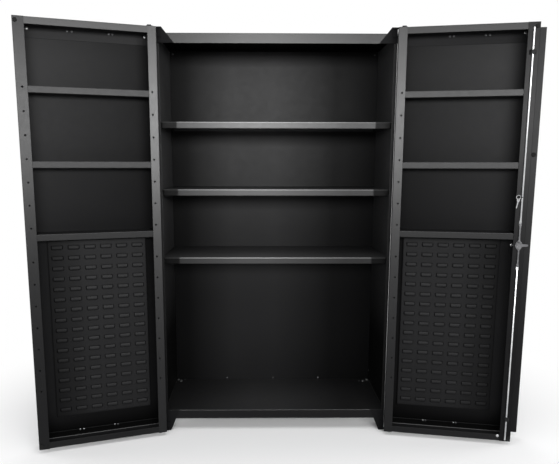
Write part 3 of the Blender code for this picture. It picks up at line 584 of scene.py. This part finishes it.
# Bottom channels: a painted highlight along the inner bend, and painted shadow on the leg behind it.
CHANNEL_LOOK = {"crease": (0.1072, 0.1103, 0.085, 0.0505)}
for word in SIDES:
    box = (door_point(word, 0, 0, 0), ACROSS[word], THROUGH[word], MM * DOOR_WIDTH, MM * DOOR_DEPTH)
    # Door shelves are painted black behind the flanges, as painted shade seen through the flange
    # holes.
    shown = (MM * HINGE_FLANGE, MM * (DOOR_WIDTH - FREE_FLANGE[word]))
    for part, front, inside, more in (
        ("door_skin", 0.34, 0.115, SKIN_LOOK),
        ("louver_panel", 0.3, LOUVER_SHINE[word], LOUVER_LOOK),
        ("hinge_stile", HINGE_SHINE[word], 0.09, {"low": 0.42}),
        ("free_stile", FREE_SHINE[word], 0.06, {"low": 0.42}),
        ("top_channel", RAIL_SHINE[word], LEG_SHINE[word], {"edge": 3.0}),
        ("bottom_channel", 0.15, 0.12, CHANNEL_LOOK),
        ("door_shelf", 0.21, 0.09, {"low": 0.5, "shown": shown}),
    ):
        name = f"{word}_{part}_paint"
        PAINTS[f"{part}_{word}"] = powder_coat(name, box, DARK, front, inside, flank=0.3, **more)
STRIP_BOX = (door_point("right", DOOR_WIDTH, 90, 0), ACROSS["right"], THROUGH["right"], 0.06, 0.03)
PAINTS["strip"] = powder_coat("strip_paint", STRIP_BOX, DARK, 0.24, 0.08, low=0.45)
ZINC = zinc_plate("zinc_plate", False)
ROD_ZINC = zinc_plate("rod_zinc", True)
DULL = dull_steel()
PLASTIC = moulded_plastic()
RUBBER = bumper_rubber()

BARS = ("spindle", "upper_rod", "lower_rod")
STAMPINGS = (
    "pivot_pin", "handle_escutcheon", "handle_lever", "latch_cam", "upper_link", "lower_link",
)
OWN_PAINT = (
    ("side_panel", "walls"),
    ("top_panel", "top"),
    ("back_panel", "back"),
    ("bottom_panel", "floor"),
    ("shelf", "shelves"),
    ("ear_gusset", "gussets"),
    ("leg_gusset", "gussets"),
    ("pivot_bracket", "gussets"),
    ("astragal_strip", "strip"),
)


def paint_for(name):
    """The paint of a sheet piece, from its name."""
    for start, paint in OWN_PAINT:
        if name.startswith(start):
            return PAINTS[paint]
    words = name.split("_")
    own = f"{words[0]}_{words[1]}_{words[-1]}"
    return PAINTS.get(own, PAINTS["cabinet"])


for name, node in frame["nodes"].items():
    if name.startswith(BARS):
        finish = ROD_ZINC
    elif name.startswith(STAMPINGS):
        finish = DULL
    elif name.startswith("rod_guide"):
        finish = PLASTIC
    elif name.startswith("bumper"):
        finish = RUBBER
    else:
        finish = paint_for(name)
    node.data.materials.clear()
    node.data.materials.append(finish)


# ---------------------------------------------------------------- pieces added to the solids

def turns(count):
    """The angles of equal steps once round."""
    return [2 * math.pi * k / count for k in range(count)]


def looped(points):
    """Each point with the one after it, and the last with the first."""
    return zip(points, points[1:] + points[:1])


def lofted(bm, sections, closed=False):
    """A skin through sections with as many points each, flat at both ends or closed to a ring."""
    rings = []
    for section in sections:
        rings.append([bm.verts.new(point) for point in section])
    for low, high in looped(rings) if closed else zip(rings, rings[1:]):
        count = len(low)
        for k in range(count):
            after = (k + 1) % count
            bm.faces.new([low[k], low[after], high[after], high[k]])
    if not closed:
        bm.faces.new(rings[0])
        bm.faces.new(rings[-1])


def plate(bm, loops, push):
    """A plate between an outline and the holes in it, as thick as the push."""
    lines = []
    for loop in loops:
        points = [bm.verts.new(point) for point in loop]
        lines += [bm.edges.new(pair) for pair in looped(points)]
    found = bmesh.ops.triangle_fill(bm, use_beauty=True, edges=lines)["geom"]
    faces = [item for item in found if isinstance(item, bmesh.types.BMFace)]
    grown = bmesh.ops.extrude_face_region(bm, geom=faces)["geom"]
    moved = [item for item in grown if isinstance(item, bmesh.types.BMVert)]
    bmesh.ops.translate(bm, verts=moved, vec=push)


def as_mesh(name, bm):
    mesh = bpy.data.meshes.new(name)
    bm.to_mesh(mesh)
    bm.free()
    return mesh


def add_piece(name, bm, finish, body, smooth=35.0):
    """A piece from a closed shape, with its faces turned outwards."""
    bmesh.ops.recalc_face_normals(bm, faces=bm.faces)
    return add_mesh(name, as_mesh(name, bm), finish, body, smooth)


def add_mesh(name, mesh, finish, body, smooth):
    """A finished mesh at the origin, smoothed up to an angle, riding on a body."""
    mesh.materials.clear()
    mesh.materials.append(finish)
    mesh.shade_smooth()
    mesh.set_sharp_from_angle(angle=math.radians(smooth))
    piece = bpy.data.objects.new(name, mesh)
    scene.collection.objects.link(piece)
    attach(piece, body)
    return piece


class NodeTree:
    """A Geometry Nodes tree with named inputs, put together step by step."""

    def __init__(self, name):
        self.tree = bpy.data.node_groups.new(name, "GeometryNodeTree")
        self.tree.interface.new_socket("Geometry", in_out="INPUT", socket_type="NodeSocketGeometry")
        self.tree.interface.new_socket("Geometry", in_out="OUTPUT", socket_type="NodeSocketGeometry")
        self.start = self.tree.nodes.new("NodeGroupInput")
        self.end = self.tree.nodes.new("NodeGroupOutput")

    def takes(self, name, kind):
        self.tree.interface.new_socket(name, in_out="INPUT", socket_type=kind)
        return self.start.outputs[name]

    def step(self, kind, result=0, settings=None, **inputs):
        node = self.tree.nodes.new(kind)
        for word, value in (settings or {}).items():
            setattr(node, word, value)
        for word, value in inputs.items():
            key = int(word[1:]) if word[0] == "_" else word.replace("_", " ")
            if isinstance(value, bpy.types.NodeSocket):
                self.tree.links.new(value, node.inputs[key])
            else:
                node.inputs[key].default_value = value
        return node.outputs[result]

    def ends(self, geometry, finish):
        whole = self.step("GeometryNodeRealizeInstances", Geometry=geometry)
        coated = self.step("GeometryNodeSetMaterial", Geometry=whole, Material=finish)
        self.tree.links.new(coated, self.end.inputs["Geometry"])

    def grown_on(self, mesh, **sizes):
        """The mesh that the tree makes from a start mesh and these sizes."""
        carrier = bpy.data.objects.new(self.tree.name, mesh)
        scene.collection.objects.link(carrier)
        change = carrier.modifiers.new(self.tree.name, "NODES")
        change.node_group = self.tree
        for item in self.tree.interface.items_tree:
            word = item.name.replace(" ", "_")
            if item.in_out == "INPUT" and word in sizes:
                change[item.identifier] = sizes[word]
        graph = bpy.context.evaluated_depsgraph_get()
        grown = bpy.data.meshes.new_from_object(carrier.evaluated_get(graph), depsgraph=graph)
        carrier.modifiers.remove(change)
        bpy.data.objects.remove(carrier)
        return grown


# Louvered panels: one pressed hood in its cell of sheet, repeated in rows and columns
LOUVER_PITCH = (74.0, 50.0)
LOUVER_SIZE = (54.0, 20.5)
LOUVER_COUNT = (6, 17)
HOOD_PROUD = 7.6
HOOD_END = 4.8
HOOD_FOOT = 4.6
HOOD_ROUND = 7.5
HOOD_CROWN = 0.42
LIP_FALL = 0.36
LIP_DROP = 0.2
MERGE = 0.00002
ON_RIM = 0.00001


def hood_height(end_gap, foot_gap):
    """How far the hood stands out at a distance from its end and its foot."""
    end = math.sin(min(1.0, end_gap / HOOD_END) * math.pi / 2)
    foot = math.sin(min(1.0, foot_gap / HOOD_FOOT) * math.pi / 2)
    rise = max(0.0, foot_gap / LOUVER_SIZE[1] - HOOD_CROWN) / (1 - HOOD_CROWN)
    return HOOD_PROUD * min(end, foot) * (1 - LIP_FALL * rise**1.4)


def louver_cell():
    """One cell of sheet, in its own plane, with the hood pressed out and open along its top."""
    steps_a = 14
    steps_b = 6
    half_a = LOUVER_SIZE[0] / 2
    half_b = LOUVER_SIZE[1] / 2
    bm = bmesh.new()
    hood = {}
    rim = {}
    edge = {}
    for i in range(steps_a + 1):
        s = 2 * i / steps_a - 1
        s = s * (1.35 - 0.35 * s * s)
        for k in range(steps_b + 1):
            t = (k / steps_b) ** 1.15
            low = LOUVER_SIZE[1] * t
            corner = max(0.0, HOOD_ROUND - min(low, LOUVER_SIZE[1] - 0.4 * low))
            half = half_a - HOOD_ROUND + math.sqrt(max(0.0, HOOD_ROUND**2 - corner**2))
            a = s * half
            b = low - half_b
            lift = hood_height(half - abs(a), low)
            top = LIP_DROP * lift / HOOD_PROUD if k == steps_b else 0.0
            hood[i, k] = bm.verts.new((MM * a, MM * (b - top), MM * lift))
            if i in (0, steps_a) or k in (0, steps_b):
                shared = lift < 1e-6
                rim[i, k] = hood[i, k] if shared else bm.verts.new((MM * a, MM * b, 0))
                edge_a = (2 * i / steps_a - 1) * LOUVER_PITCH[0] / 2
                edge_b = (2 * k / steps_b - 1) * LOUVER_PITCH[1] / 2
                edge[i, k] = bm.verts.new((MM * edge_a, MM * edge_b, 0))
    for i in range(steps_a):
        for k in range(steps_b):
            bm.faces.new([hood[i, k], hood[i + 1, k], hood[i + 1, k + 1], hood[i, k + 1]])
    around = [(i, 0) for i in range(steps_a)]
    around += [(steps_a, k) for k in range(steps_b)]
    around += [(steps_a - i, steps_b) for i in range(steps_a)]
    around += [(0, steps_b - k) for k in range(steps_b)]
    for here, after in looped(around):
        bm.faces.new([rim[here], edge[here], edge[after], rim[after]])
    return as_mesh("louver_cell", bm)


def louver_tree(finish):
    made = NodeTree("louver_rows")
    columns = made.takes("Columns", "NodeSocketInt")
    rows = made.takes("Rows", "NodeSocketInt")
    wide = made.takes("Wide", "NodeSocketFloat")
    tall = made.takes("Tall", "NodeSocketFloat")
    grid = made.step(
        "GeometryNodeMeshGrid", Size_X=wide, Size_Y=tall, Vertices_X=columns, Vertices_Y=rows
    )
    cells = made.step(
        "GeometryNodeInstanceOnPoints", Points=grid, Instance=made.start.outputs["Geometry"]
    )
    sheet = made.step("GeometryNodeRealizeInstances", Geometry=cells)
    joined = made.step("GeometryNodeMergeByDistance", Geometry=sheet, Distance=MERGE)
    made.ends(joined, finish)
    return made


def pan_edges(bm):
    """Folds the rim of the sheet back to the door skin, as the edge of a shallow pan."""
    half_a = MM * LOUVER_PITCH[0] * LOUVER_COUNT[0] / 2
    half_b = MM * LOUVER_PITCH[1] * LOUVER_COUNT[1] / 2
    middle_b = MM * (PANEL_TOP - PANEL_BOTTOM) / 2
    border = []
    for line in bm.edges:
        flush = all(abs(abs(p.co.x) - half_a) < ON_RIM for p in line.verts)
        level = all(abs(abs(p.co.y) - half_b) < ON_RIM for p in line.verts)
        if line.is_boundary and (flush or level):
            border.append(line)
    rings = [(PANEL_HALF - 2.0, -2.0, 0.0), (PANEL_HALF - 0.6, -0.6, -0.6), (PANEL_HALF, 0.0, -2.0)]
    rings.append((PANEL_HALF, 0.0, PANEL_FACE - FRAME_FRONT + GAP))
    for reach_a, inset_b, level in rings:
        grown = bmesh.ops.extrude_edge_only(bm, edges=border)["geom"]
        border = [item for item in grown if isinstance(item, bmesh.types.BMEdge)]
        border = [line for line in border if line.is_boundary]
        for point in {p for line in border for p in line.verts}:
            if abs(abs(point.co.x) - half_a) < ON_RIM:
                point.co.x = math.copysign(MM * reach_a, point.co.x)
            if abs(abs(point.co.y) - half_b) < ON_RIM:
                point.co.y = math.copysign(middle_b + MM * inset_b, point.co.y)
            point.co.z = MM * level
        half_a = MM * reach_a
        half_b = middle_b + MM * inset_b


def add_louver_panels():
    wide = MM * LOUVER_PITCH[0] * (LOUVER_COUNT[0] - 1)
    tall = MM * LOUVER_PITCH[1] * (LOUVER_COUNT[1] - 1)
    sizes = {"Columns": LOUVER_COUNT[0], "Rows": LOUVER_COUNT[1], "Wide": wide, "Tall": tall}
    for word in SIDES:
        node = f"louver_panel_{word}"
        paint = paint_for(node)
        sheet = louver_tree(paint).grown_on(louver_cell(), **sizes)
        bm = bmesh.new()
        bm.from_mesh(sheet)
        bpy.data.meshes.remove(sheet)
        pan_edges(bm)
        bmesh.ops.recalc_face_normals(bm, faces=bm.faces)
        bmesh.ops.solidify(bm, geom=bm.faces[:], thickness=MM * PANEL_SHEET)
        middle = door_point(word, PANEL_MIDDLE_U, PANEL_FACE, (PANEL_BOTTOM + PANEL_TOP) / 2)
        for point in bm.verts:
            a, b, c = point.co
            point.co = middle + a * ACROSS[word] + b * UP - c * THROUGH[word]
        piece = add_piece(f"pressed_{node}", bm, paint, f"{word}_door", 40.0)
        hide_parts(node)


add_louver_panels()


# Bottom channels: sheet folded up to a low flange in front and a leg at the skin, bored for the pin
CHANNEL_START = 1.8
CHANNEL_FOOT = 20.0
CHANNEL_TOP = 52.0
CHANNEL_BEND = 4.5
BEND_STEPS = 6
BORE = 6.4
BORE_ROOM = 12.0
BORE_SIDES = 24


def channel_section(depth):
    """Points (v, z) at a depth in the sheet, from the flange round under the web to the leg."""
    radius = CHANNEL_BEND - depth
    front = CHANNEL_START + depth
    back = FRAME_FRONT - depth
    low = CHANNEL_FOOT + depth
    turns = [math.pi / 2 * k / BEND_STEPS for k in range(BEND_STEPS + 1)]
    section = [(front, CHANNEL_TOP)]
    section += [(front + radius * (1 - math.cos(a)), low + radius * (1 - math.sin(a))) for a in turns]
    section += [(PIVOT_V - BORE_ROOM, low), (PIVOT_V + BORE_ROOM, low)]
    section += [(back - radius * (1 - math.sin(a)), low + radius * (1 - math.cos(a))) for a in turns]
    return section + [(back, CHANNEL_TOP)]


def channel_shape(bm, word):
    """A folded channel across a door, its web bored round the pivot pin."""
    places = (CHANNEL_START, PIVOT_U - BORE_ROOM, PIVOT_U + BORE_ROOM, DOOR_WIDTH - CHANNEL_START)
    bore_step = BEND_STEPS + 2
    skins = []
    bores = []
    for depth in (0.0, SHEET):
        section = channel_section(depth)
        rows = []
        for u in places:
            rows.append([bm.verts.new(door_point(word, u, v, z)) for v, z in section])
        last = len(section) - 1
        for i in range(len(places) - 1):
            for k in range(last):
                if (i, k) != (1, bore_step):
                    bm.faces.new([rows[i][k], rows[i + 1][k], rows[i + 1][k + 1], rows[i][k + 1]])
        bore = []
        for turn in turns(BORE_SIDES):
            u = PIVOT_U + BORE * math.cos(turn)
            v = PIVOT_V + BORE * math.sin(turn)
            bore.append(bm.verts.new(door_point(word, u, v, CHANNEL_FOOT + depth)))
        near, far = rows[1], rows[2]
        room = [near[bore_step], far[bore_step], far[bore_step + 1], near[bore_step + 1]]
        lines = [bm.edges.get(pair) for pair in looped(room)]
        lines += [bm.edges.new(pair) for pair in looped(bore)]
        bmesh.ops.triangle_fill(bm, use_beauty=True, edges=lines)
        skins.append(rows)
        bores.append(bore)
    outer, inner = skins
    far_end = len(places) - 1
    rim = [(i, 0) for i in range(far_end + 1)]
    rim += [(far_end, k) for k in range(1, last + 1)]
    rim += [(i, last) for i in reversed(range(far_end))]
    rim += [(0, k) for k in reversed(range(1, last))]
    for (i, k), (m, n) in looped(rim):
        bm.faces.new([outer[i][k], outer[m][n], inner[m][n], inner[i][k]])
    for k in range(BORE_SIDES):
        after = (k + 1) % BORE_SIDES
        bm.faces.new([bores[0][k], bores[0][after], bores[1][after], bores[1][k]])


def add_bottom_channels():
    for word in SIDES:
        bm = bmesh.new()
        channel_shape(bm, word)
        node = f"bottom_channel_{word}"
        piece = add_piece(f"folded_{node}", bm, paint_for(node), f"{word}_door")
        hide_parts(node)


add_bottom_channels()


# Screws: one flanged hex head, set on listed points and turned at random about its own axis
HEAD_RINGS = (
    (5.2, 5.2, 0.0),
    (5.2, 5.2, 0.6),
    (4.7, 4.7, 0.9),
    (4.0, 3.46, 1.0),
    (4.0, 3.46, 2.6),
    (3.3, 3.3, 3.0),
)


def screw_head():
    """A hex head on a round flange, its foot at the origin and its top along Z."""
    rings = []
    for corner, flat, height in HEAD_RINGS:
        ring = []
        for k, turn in enumerate(turns(12)):
            reach = MM * (flat if k % 2 else corner)
            ring.append((reach * math.cos(turn), reach * math.sin(turn), MM * height))
        rings.append(ring)
    bm = bmesh.new()
    lofted(bm, rings)
    bmesh.ops.recalc_face_normals(bm, faces=bm.faces)
    return as_mesh("screw_head", bm)


def screw_tree(finish):
    made = NodeTree("screws")
    head = made.takes("Head", "NodeSocketObject")
    seed = made.takes("Seed", "NodeSocketInt")
    turn = made.takes("Turn", "NodeSocketFloat")
    size = made.takes("Size", "NodeSocketFloat")
    shape = made.step("GeometryNodeObjectInfo", result="Geometry", Object=head)
    facing = made.step(
        "GeometryNodeInputNamedAttribute", settings={"data_type": "FLOAT_VECTOR"}, Name="facing"
    )
    upright = made.step("FunctionNodeAlignRotationToVector", settings={"axis": "Z"}, Vector=facing)
    amount = made.step("FunctionNodeRandomValue", result=1, _3=turn, Seed=seed)
    about = made.step("ShaderNodeCombineXYZ", Z=amount)
    spin = made.step("FunctionNodeEulerToRotation", Euler=about)
    turned = made.step(
        "FunctionNodeRotateRotation",
        settings={"rotation_space": "LOCAL"},
        Rotation=upright,
        Rotate_By=spin,
    )
    heads = made.step(
        "GeometryNodeInstanceOnPoints",
        Points=made.start.outputs["Geometry"],
        Instance=shape,
        Rotation=turned,
        Scale=size,
    )
    made.ends(heads, finish)
    return made


def add_screws(name, body, spots, finish, seed, size=1.0):
    """Screw heads on a body at pairs of a point and the way the head faces."""
    points = bpy.data.meshes.new("screw_points")
    points.from_pydata([place for place, facing in spots], [], [])
    ways = points.attributes.new("facing", "FLOAT_VECTOR", "POINT")
    for k, (place, facing) in enumerate(spots):
        ways.data[k].vector = facing
    head = bpy.data.objects.new("screw_head", screw_head())
    scene.collection.objects.link(head)
    mesh = screw_tree(finish).grown_on(points, Head=head, Seed=seed, Turn=math.pi / 3, Size=size)
    bpy.data.objects.remove(head)
    add_mesh(name, mesh, finish, body, 30.0)


CHANNEL_LEG_V = 110.6
SCREW_GAP = 0.1
SCREW_SEEDS = {"left": 11, "right": 12}
CORNER_SIZE = 1.3
FOOT_SIZE = 0.7
FLOOR_SIZE = 1.7
DOOR_SCREWS = {
    "left": {1942.0: (381, 360, 199, 182), 48.0: (229,)},
    "right": {1942.0: (413, 395, 254, 236), 48.0: (210, 361)},
}
FOOT_SCREWS = {"left": (413, 395, 245), "right": (198, 349)}
FOOT_SCREW_Z = 48.5
CORNER_SCREWS = {
    "left": ((551, CHANNEL_LEG_V, 1943), (35, CHANNEL_LEG_V, 1940)),
    "right": ((571, 112.1, 974), (567, CHANNEL_LEG_V, 1947), (545, 1.7, 45)),
}
for word, rows in DOOR_SCREWS.items():
    body = f"{word}_door"
    seed = SCREW_SEEDS[word]
    inwards = -THROUGH[word]
    spots = []
    for z, columns in rows.items():
        spots += [(door_point(word, u, CHANNEL_LEG_V, z), inwards) for u in columns]
    add_screws(f"{word}_channel_screws", body, spots, DULL, seed)
    spots = [(door_point(word, *place), inwards) for place in CORNER_SCREWS[word]]
    add_screws(f"{word}_corner_screws", body, spots, ZINC, seed + 10, CORNER_SIZE)
    spots = [(door_point(word, u, CHANNEL_LEG_V, FOOT_SCREW_Z), inwards) for u in FOOT_SCREWS[word]]
    add_screws(f"{word}_foot_screws", body, spots, ZINC, seed + 20, FOOT_SIZE)

FORWARD = Vector((0, -1, 0))
RIGHT = Vector((1, 0, 0))
FACE_Y = BACK_INSIDE - SCREW_GAP
WALL_X = HALF_BODY - SHEET - SCREW_GAP
FLOOR_Z = FLOOR_FACE + SCREW_GAP
BODY_SCREWS = [(body_point(x, FACE_Y, 1938), FORWARD) for x in (-545, 545)]
BODY_SCREWS += [(body_point(x, FACE_Y, 114.6), FORWARD) for x in (-269, 1, 266)]
LEFT_WALL_SPOTS = ((415, 1938), (437, 1007))
RIGHT_WALL_SPOTS = ((415, 1938), (428, 718), (435, 165))
BODY_SCREWS += [(body_point(-WALL_X, y, z), RIGHT) for y, z in LEFT_WALL_SPOTS]
BODY_SCREWS += [(body_point(WALL_X, y, z), -RIGHT) for y, z in RIGHT_WALL_SPOTS]
BODY_SCREWS += [(body_point(x, y, FLOOR_Z), UP) for x, y in ((-514, 440), (503, 414))]
add_screws("body_screws", "cabinet", BODY_SCREWS, DULL, 13)
FLOOR_SPOTS = ((-552, 440), (-533, 418), (526, 414), (550, 432))
FLOOR_SCREWS = [(body_point(x, y, FLOOR_Z), UP) for x, y in FLOOR_SPOTS]
add_screws("floor_corner_screws", "cabinet", FLOOR_SCREWS, ZINC, 14, FLOOR_SIZE)


# Latch on the right door: drawn rods with flattened ends, stamped links, and the cam with its tongue
CAM_HALF = (16.0, 23.5)
CAM_BULGE = 1.55
TONGUE_ROOT = 6.6
TONGUE_TIP = 4.8
TONGUE_REACH = 40.5
LINK_EYE = 6.0
LINK_WAIST = 3.4
WAIST_START = 13.0
LINK_RIM = 0.5
RIVET = ((3.6, 0.0), (3.4, 0.7), (2.7, 1.2), (1.4, 1.5))
ROD_SIDES = 20
ROD_TIP_ROUND = 1.2
ROD_SECTIONS = (
    (-8.0, 2.6, 1.2, -2.8, 0.4),
    (-6.6, 4.4, 1.5, -2.8, 0.4),
    (-4.0, 5.6, 1.5, -2.8, 0.4),
    (0.0, 6.0, 1.5, -2.8, 0.4),
    (11.0, 6.0, 1.5, -2.8, 0.4),
    (17.0, 5.4, 2.1, -3.5, 0.65),
    (24.0, 4.0, 4.0, ROD_V, 1.0),
)


def bowed(value, power):
    """A value from -1 to 1 drawn in or out by a power, its sign kept."""
    return math.copysign(abs(value) ** power, value)


def rod_shape(bm, word):
    """A round bar from its tip towards the cam, pressed flat round the pin at its end."""
    way = 1 if word == "upper" else -1
    pin = LATCH_Z + way * ROD_PIN
    tip = ROD_TIPS[word]
    rows = [(pin + way * rise, *rest) for rise, *rest in ROD_SECTIONS]
    end = ROD_RADIUS - ROD_TIP_ROUND
    rows.append((tip - way * ROD_TIP_ROUND, ROD_RADIUS, ROD_RADIUS, ROD_V, 1.0))
    rows.append((tip, end, end, ROD_V, 1.0))
    sections = []
    for z, half_u, half_v, middle, power in rows:
        section = []
        for turn in turns(ROD_SIDES):
            u = LATCH_U + half_u * bowed(math.cos(turn), power)
            v = middle + half_v * bowed(math.sin(turn), power)
            section.append(door_point("right", u, v, z))
        sections.append(section)
    lofted(bm, sections)


def link_shape(bm, word):
    """A stamped bar with a round eye at each end, a narrow waist and a domed rivet in each eye."""
    way = 1 if word == "upper" else -1
    far = LATCH_Z + way * ROD_PIN
    ends = sorted((far, far - way * LINK_LENGTH))
    outline = []
    for z, first in ((ends[1], 0), (ends[0], 180)):
        for k in range(13):
            turn = math.radians(first - 34 + 248 * k / 12)
            outline.append((LINK_EYE * math.cos(turn), z + LINK_EYE * math.sin(turn)))
        waist = [(LINK_WAIST, ends[0] + WAIST_START), (LINK_WAIST, ends[1] - WAIST_START)]
        if first == 0:
            waist = [(-a, level) for a, level in reversed(waist)]
        outline += waist
    sections = []
    for v, inset in (
        (LINK_INNER, LINK_RIM),
        (LINK_INNER - LINK_RIM, 0),
        (LINK_OUTER + LINK_RIM, 0),
        (LINK_OUTER, LINK_RIM),
    ):
        section = []
        for a, z in outline:
            share = 1 - inset / max(3.0, abs(a))
            section.append(door_point("right", LATCH_U + a * share, v, z))
        sections.append(section)
    lofted(bm, sections)
    for z in ends:
        dome = []
        for radius, proud in RIVET:
            ring = []
            for turn in turns(14):
                u = LATCH_U + radius * math.cos(turn)
                ring.append(door_point("right", u, LINK_OUTER - proud, z + radius * math.sin(turn)))
            dome.append(ring)
        lofted(bm, dome)


def cam_shape(bm):
    """A stamped diamond plate bored for the spindle, with a tapered tongue towards the free edge."""
    first = math.asin((TONGUE_ROOT / CAM_HALF[1]) ** (CAM_BULGE / 2))
    outline = []
    for k in range(33):
        turn = first + (2 * math.pi - 2 * first) * k / 32
        a = CAM_HALF[0] * bowed(math.cos(turn), 2 / CAM_BULGE)
        b = CAM_HALF[1] * bowed(math.sin(turn), 2 / CAM_BULGE)
        outline.append((a, b))
    for k in range(9):
        turn = math.radians(-90 + 180 * k / 8)
        a = TONGUE_REACH - TONGUE_TIP + TONGUE_TIP * math.cos(turn)
        outline.append((a, TONGUE_TIP * math.sin(turn)))
    bore = [(SPINDLE_BORE * math.cos(turn), SPINDLE_BORE * math.sin(turn)) for turn in turns(24)]
    loops = []
    for loop in (outline, bore):
        loops.append([door_point("right", LATCH_U + a, PLATE_INNER, LATCH_Z + b) for a, b in loop])
    plate(bm, loops, MM * (PLATE_OUTER - PLATE_INNER) * THROUGH["right"])


def add_latch():
    cam = bmesh.new()
    cam_shape(cam)
    works = [("stamped_latch_cam", cam, DULL, "handle", "dark_steel", "latch_cam")]
    for word in ROD_TIPS:
        rod = bmesh.new()
        rod_shape(rod, word)
        node = f"{word}_rod"
        works.append((f"drawn_{node}", rod, ROD_ZINC, node, "bright_steel", node))
        link = bmesh.new()
        link_shape(link, word)
        node = f"{word}_link"
        works.append((f"stamped_{node}", link, DULL, node, "dark_steel", node))
    for name, bm, finish, body, slot, node in works:
        piece = add_piece(name, bm, finish, body)
        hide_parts(node)


add_latch()


# Spare key on its ring, tied to the upper rod, and the rubber buffer on the astragal strip
KEY_U = 562.0
KEY_Z = 1208.0
KEY_RING = 9.0
KEY_WIRE = 1.5
KEY_BOW = 7.5
KEY_HOLE = 2.6
KEY_DROP = 14.0
KEY_HOLE_UP = 3.2
KEY_THICK = 1.9
KEY_TILT = math.radians(-11)
KEY_TURN = math.radians(24)
KEY_BLADE = (
    (-3.0, -9.0), (-3.0, -35.0), (0.0, -37.5), (2.0, -34.0), (1.3, -31.5), (2.6, -29.0),
    (1.5, -26.0), (2.8, -23.0), (1.9, -20.5), (3.0, -18.0), (3.0, -9.0),
)
TIE_STEPS = 24
TIE_KEY_U = KEY_U + 2.0
TIE_SECTION = ((4.15, -1.2), (4.95, -1.2), (4.95, 1.2), (4.15, 1.2))
TIE_HEAD = (575.0, -11.9)
TIE_HEAD_SIZE = (5.2, 4.4, 5.0)
TIE_HEAD_ROUND = 0.7
BUFFER_AT = (642.0, 1401.0)
BUFFER_PROFILE = ((7.4, 114.9), (9.6, 115.5), (10.5, 116.8), (10.5, 118.2))


def ring_shape(bm):
    """A wire ring in the plane of the door."""
    sections = []
    for turn in turns(28):
        section = []
        for roll in turns(8):
            reach = KEY_RING + KEY_WIRE * math.cos(roll)
            u = KEY_U + reach * math.cos(turn)
            v = ROD_V + KEY_WIRE * math.sin(roll)
            section.append(door_point("right", u, v, KEY_Z + reach * math.sin(turn)))
        sections.append(section)
    lofted(bm, sections, closed=True)


def key_shape(bm):
    """A flat key on the ring, its blade hanging down and turned a little out of the door's plane."""
    outline = []
    for k in range(21):
        turn = math.radians(-66 + 312 * k / 20)
        outline.append((KEY_BOW * math.cos(turn), KEY_BOW * math.sin(turn)))
    outline += KEY_BLADE
    hole = []
    for turn in turns(12):
        hole.append((KEY_HOLE * math.cos(turn), KEY_HOLE_UP + KEY_HOLE * math.sin(turn)))
    loops = []
    for loop in (outline, hole):
        points = []
        for a, b in loop:
            across = a * math.cos(KEY_TILT) - b * math.sin(KEY_TILT)
            down = a * math.sin(KEY_TILT) + b * math.cos(KEY_TILT)
            u = KEY_U + across * math.cos(KEY_TURN)
            v = ROD_V + across * math.sin(KEY_TURN) + KEY_THICK / 2
            points.append(door_point("right", u, v, KEY_Z - KEY_DROP + down))
        loops.append(points)
    plate(bm, loops, -MM * KEY_THICK * THROUGH["right"])


def tie_shape(bm):
    """A strap round the rod and through the key's ring, with its locking head."""
    sections = []
    for k in range(TIE_STEPS):
        turn = 2 * math.pi * (k + 0.5) / TIE_STEPS
        centre = LATCH_U if math.cos(turn) > 0 else TIE_KEY_U
        section = []
        for reach, lift in TIE_SECTION:
            u = centre + reach * math.cos(turn)
            v = ROD_V + reach * math.sin(turn)
            section.append(door_point("right", u, v, KEY_Z + lift))
        sections.append(section)
    lofted(bm, sections, closed=True)
    head = bmesh.ops.create_cube(bm, size=1.0)["verts"]
    wide, deep, tall = TIE_HEAD_SIZE
    for point in head:
        a, b, c = point.co
        u = TIE_HEAD[0] + wide * a
        v = TIE_HEAD[1] + deep * b
        point.co = door_point("right", u, v, KEY_Z + tall * c)
    rims = {line for point in head for line in point.link_edges}
    bmesh.ops.bevel(
        bm, geom=list(rims), offset=MM * TIE_HEAD_ROUND, segments=2, profile=0.5, affect="EDGES"
    )


def buffer_shape(bm):
    """A round rubber buffer with a rounded face, flat against the strip."""
    rings = []
    for reach, v in BUFFER_PROFILE:
        ring = []
        for turn in turns(24):
            u = BUFFER_AT[0] + reach * math.cos(turn)
            ring.append(door_point("right", u, v, BUFFER_AT[1] + reach * math.sin(turn)))
        rings.append(ring)
    lofted(bm, rings)


def add_small_parts():
    key = bmesh.new()
    ring_shape(key)
    key_shape(key)
    tie = bmesh.new()
    tie_shape(tie)
    buffer = bmesh.new()
    buffer_shape(buffer)
    for name, bm, finish, body, slot in (
        ("spare_key", key, ZINC, "upper_rod", "bright_steel"),
        ("key_tie", tie, PLASTIC, "upper_rod", "black_plastic"),
        ("strip_buffer", buffer, RUBBER, "right_door", "black_rubber"),
    ):
        add_piece(name, bm, finish, body)


add_small_parts()
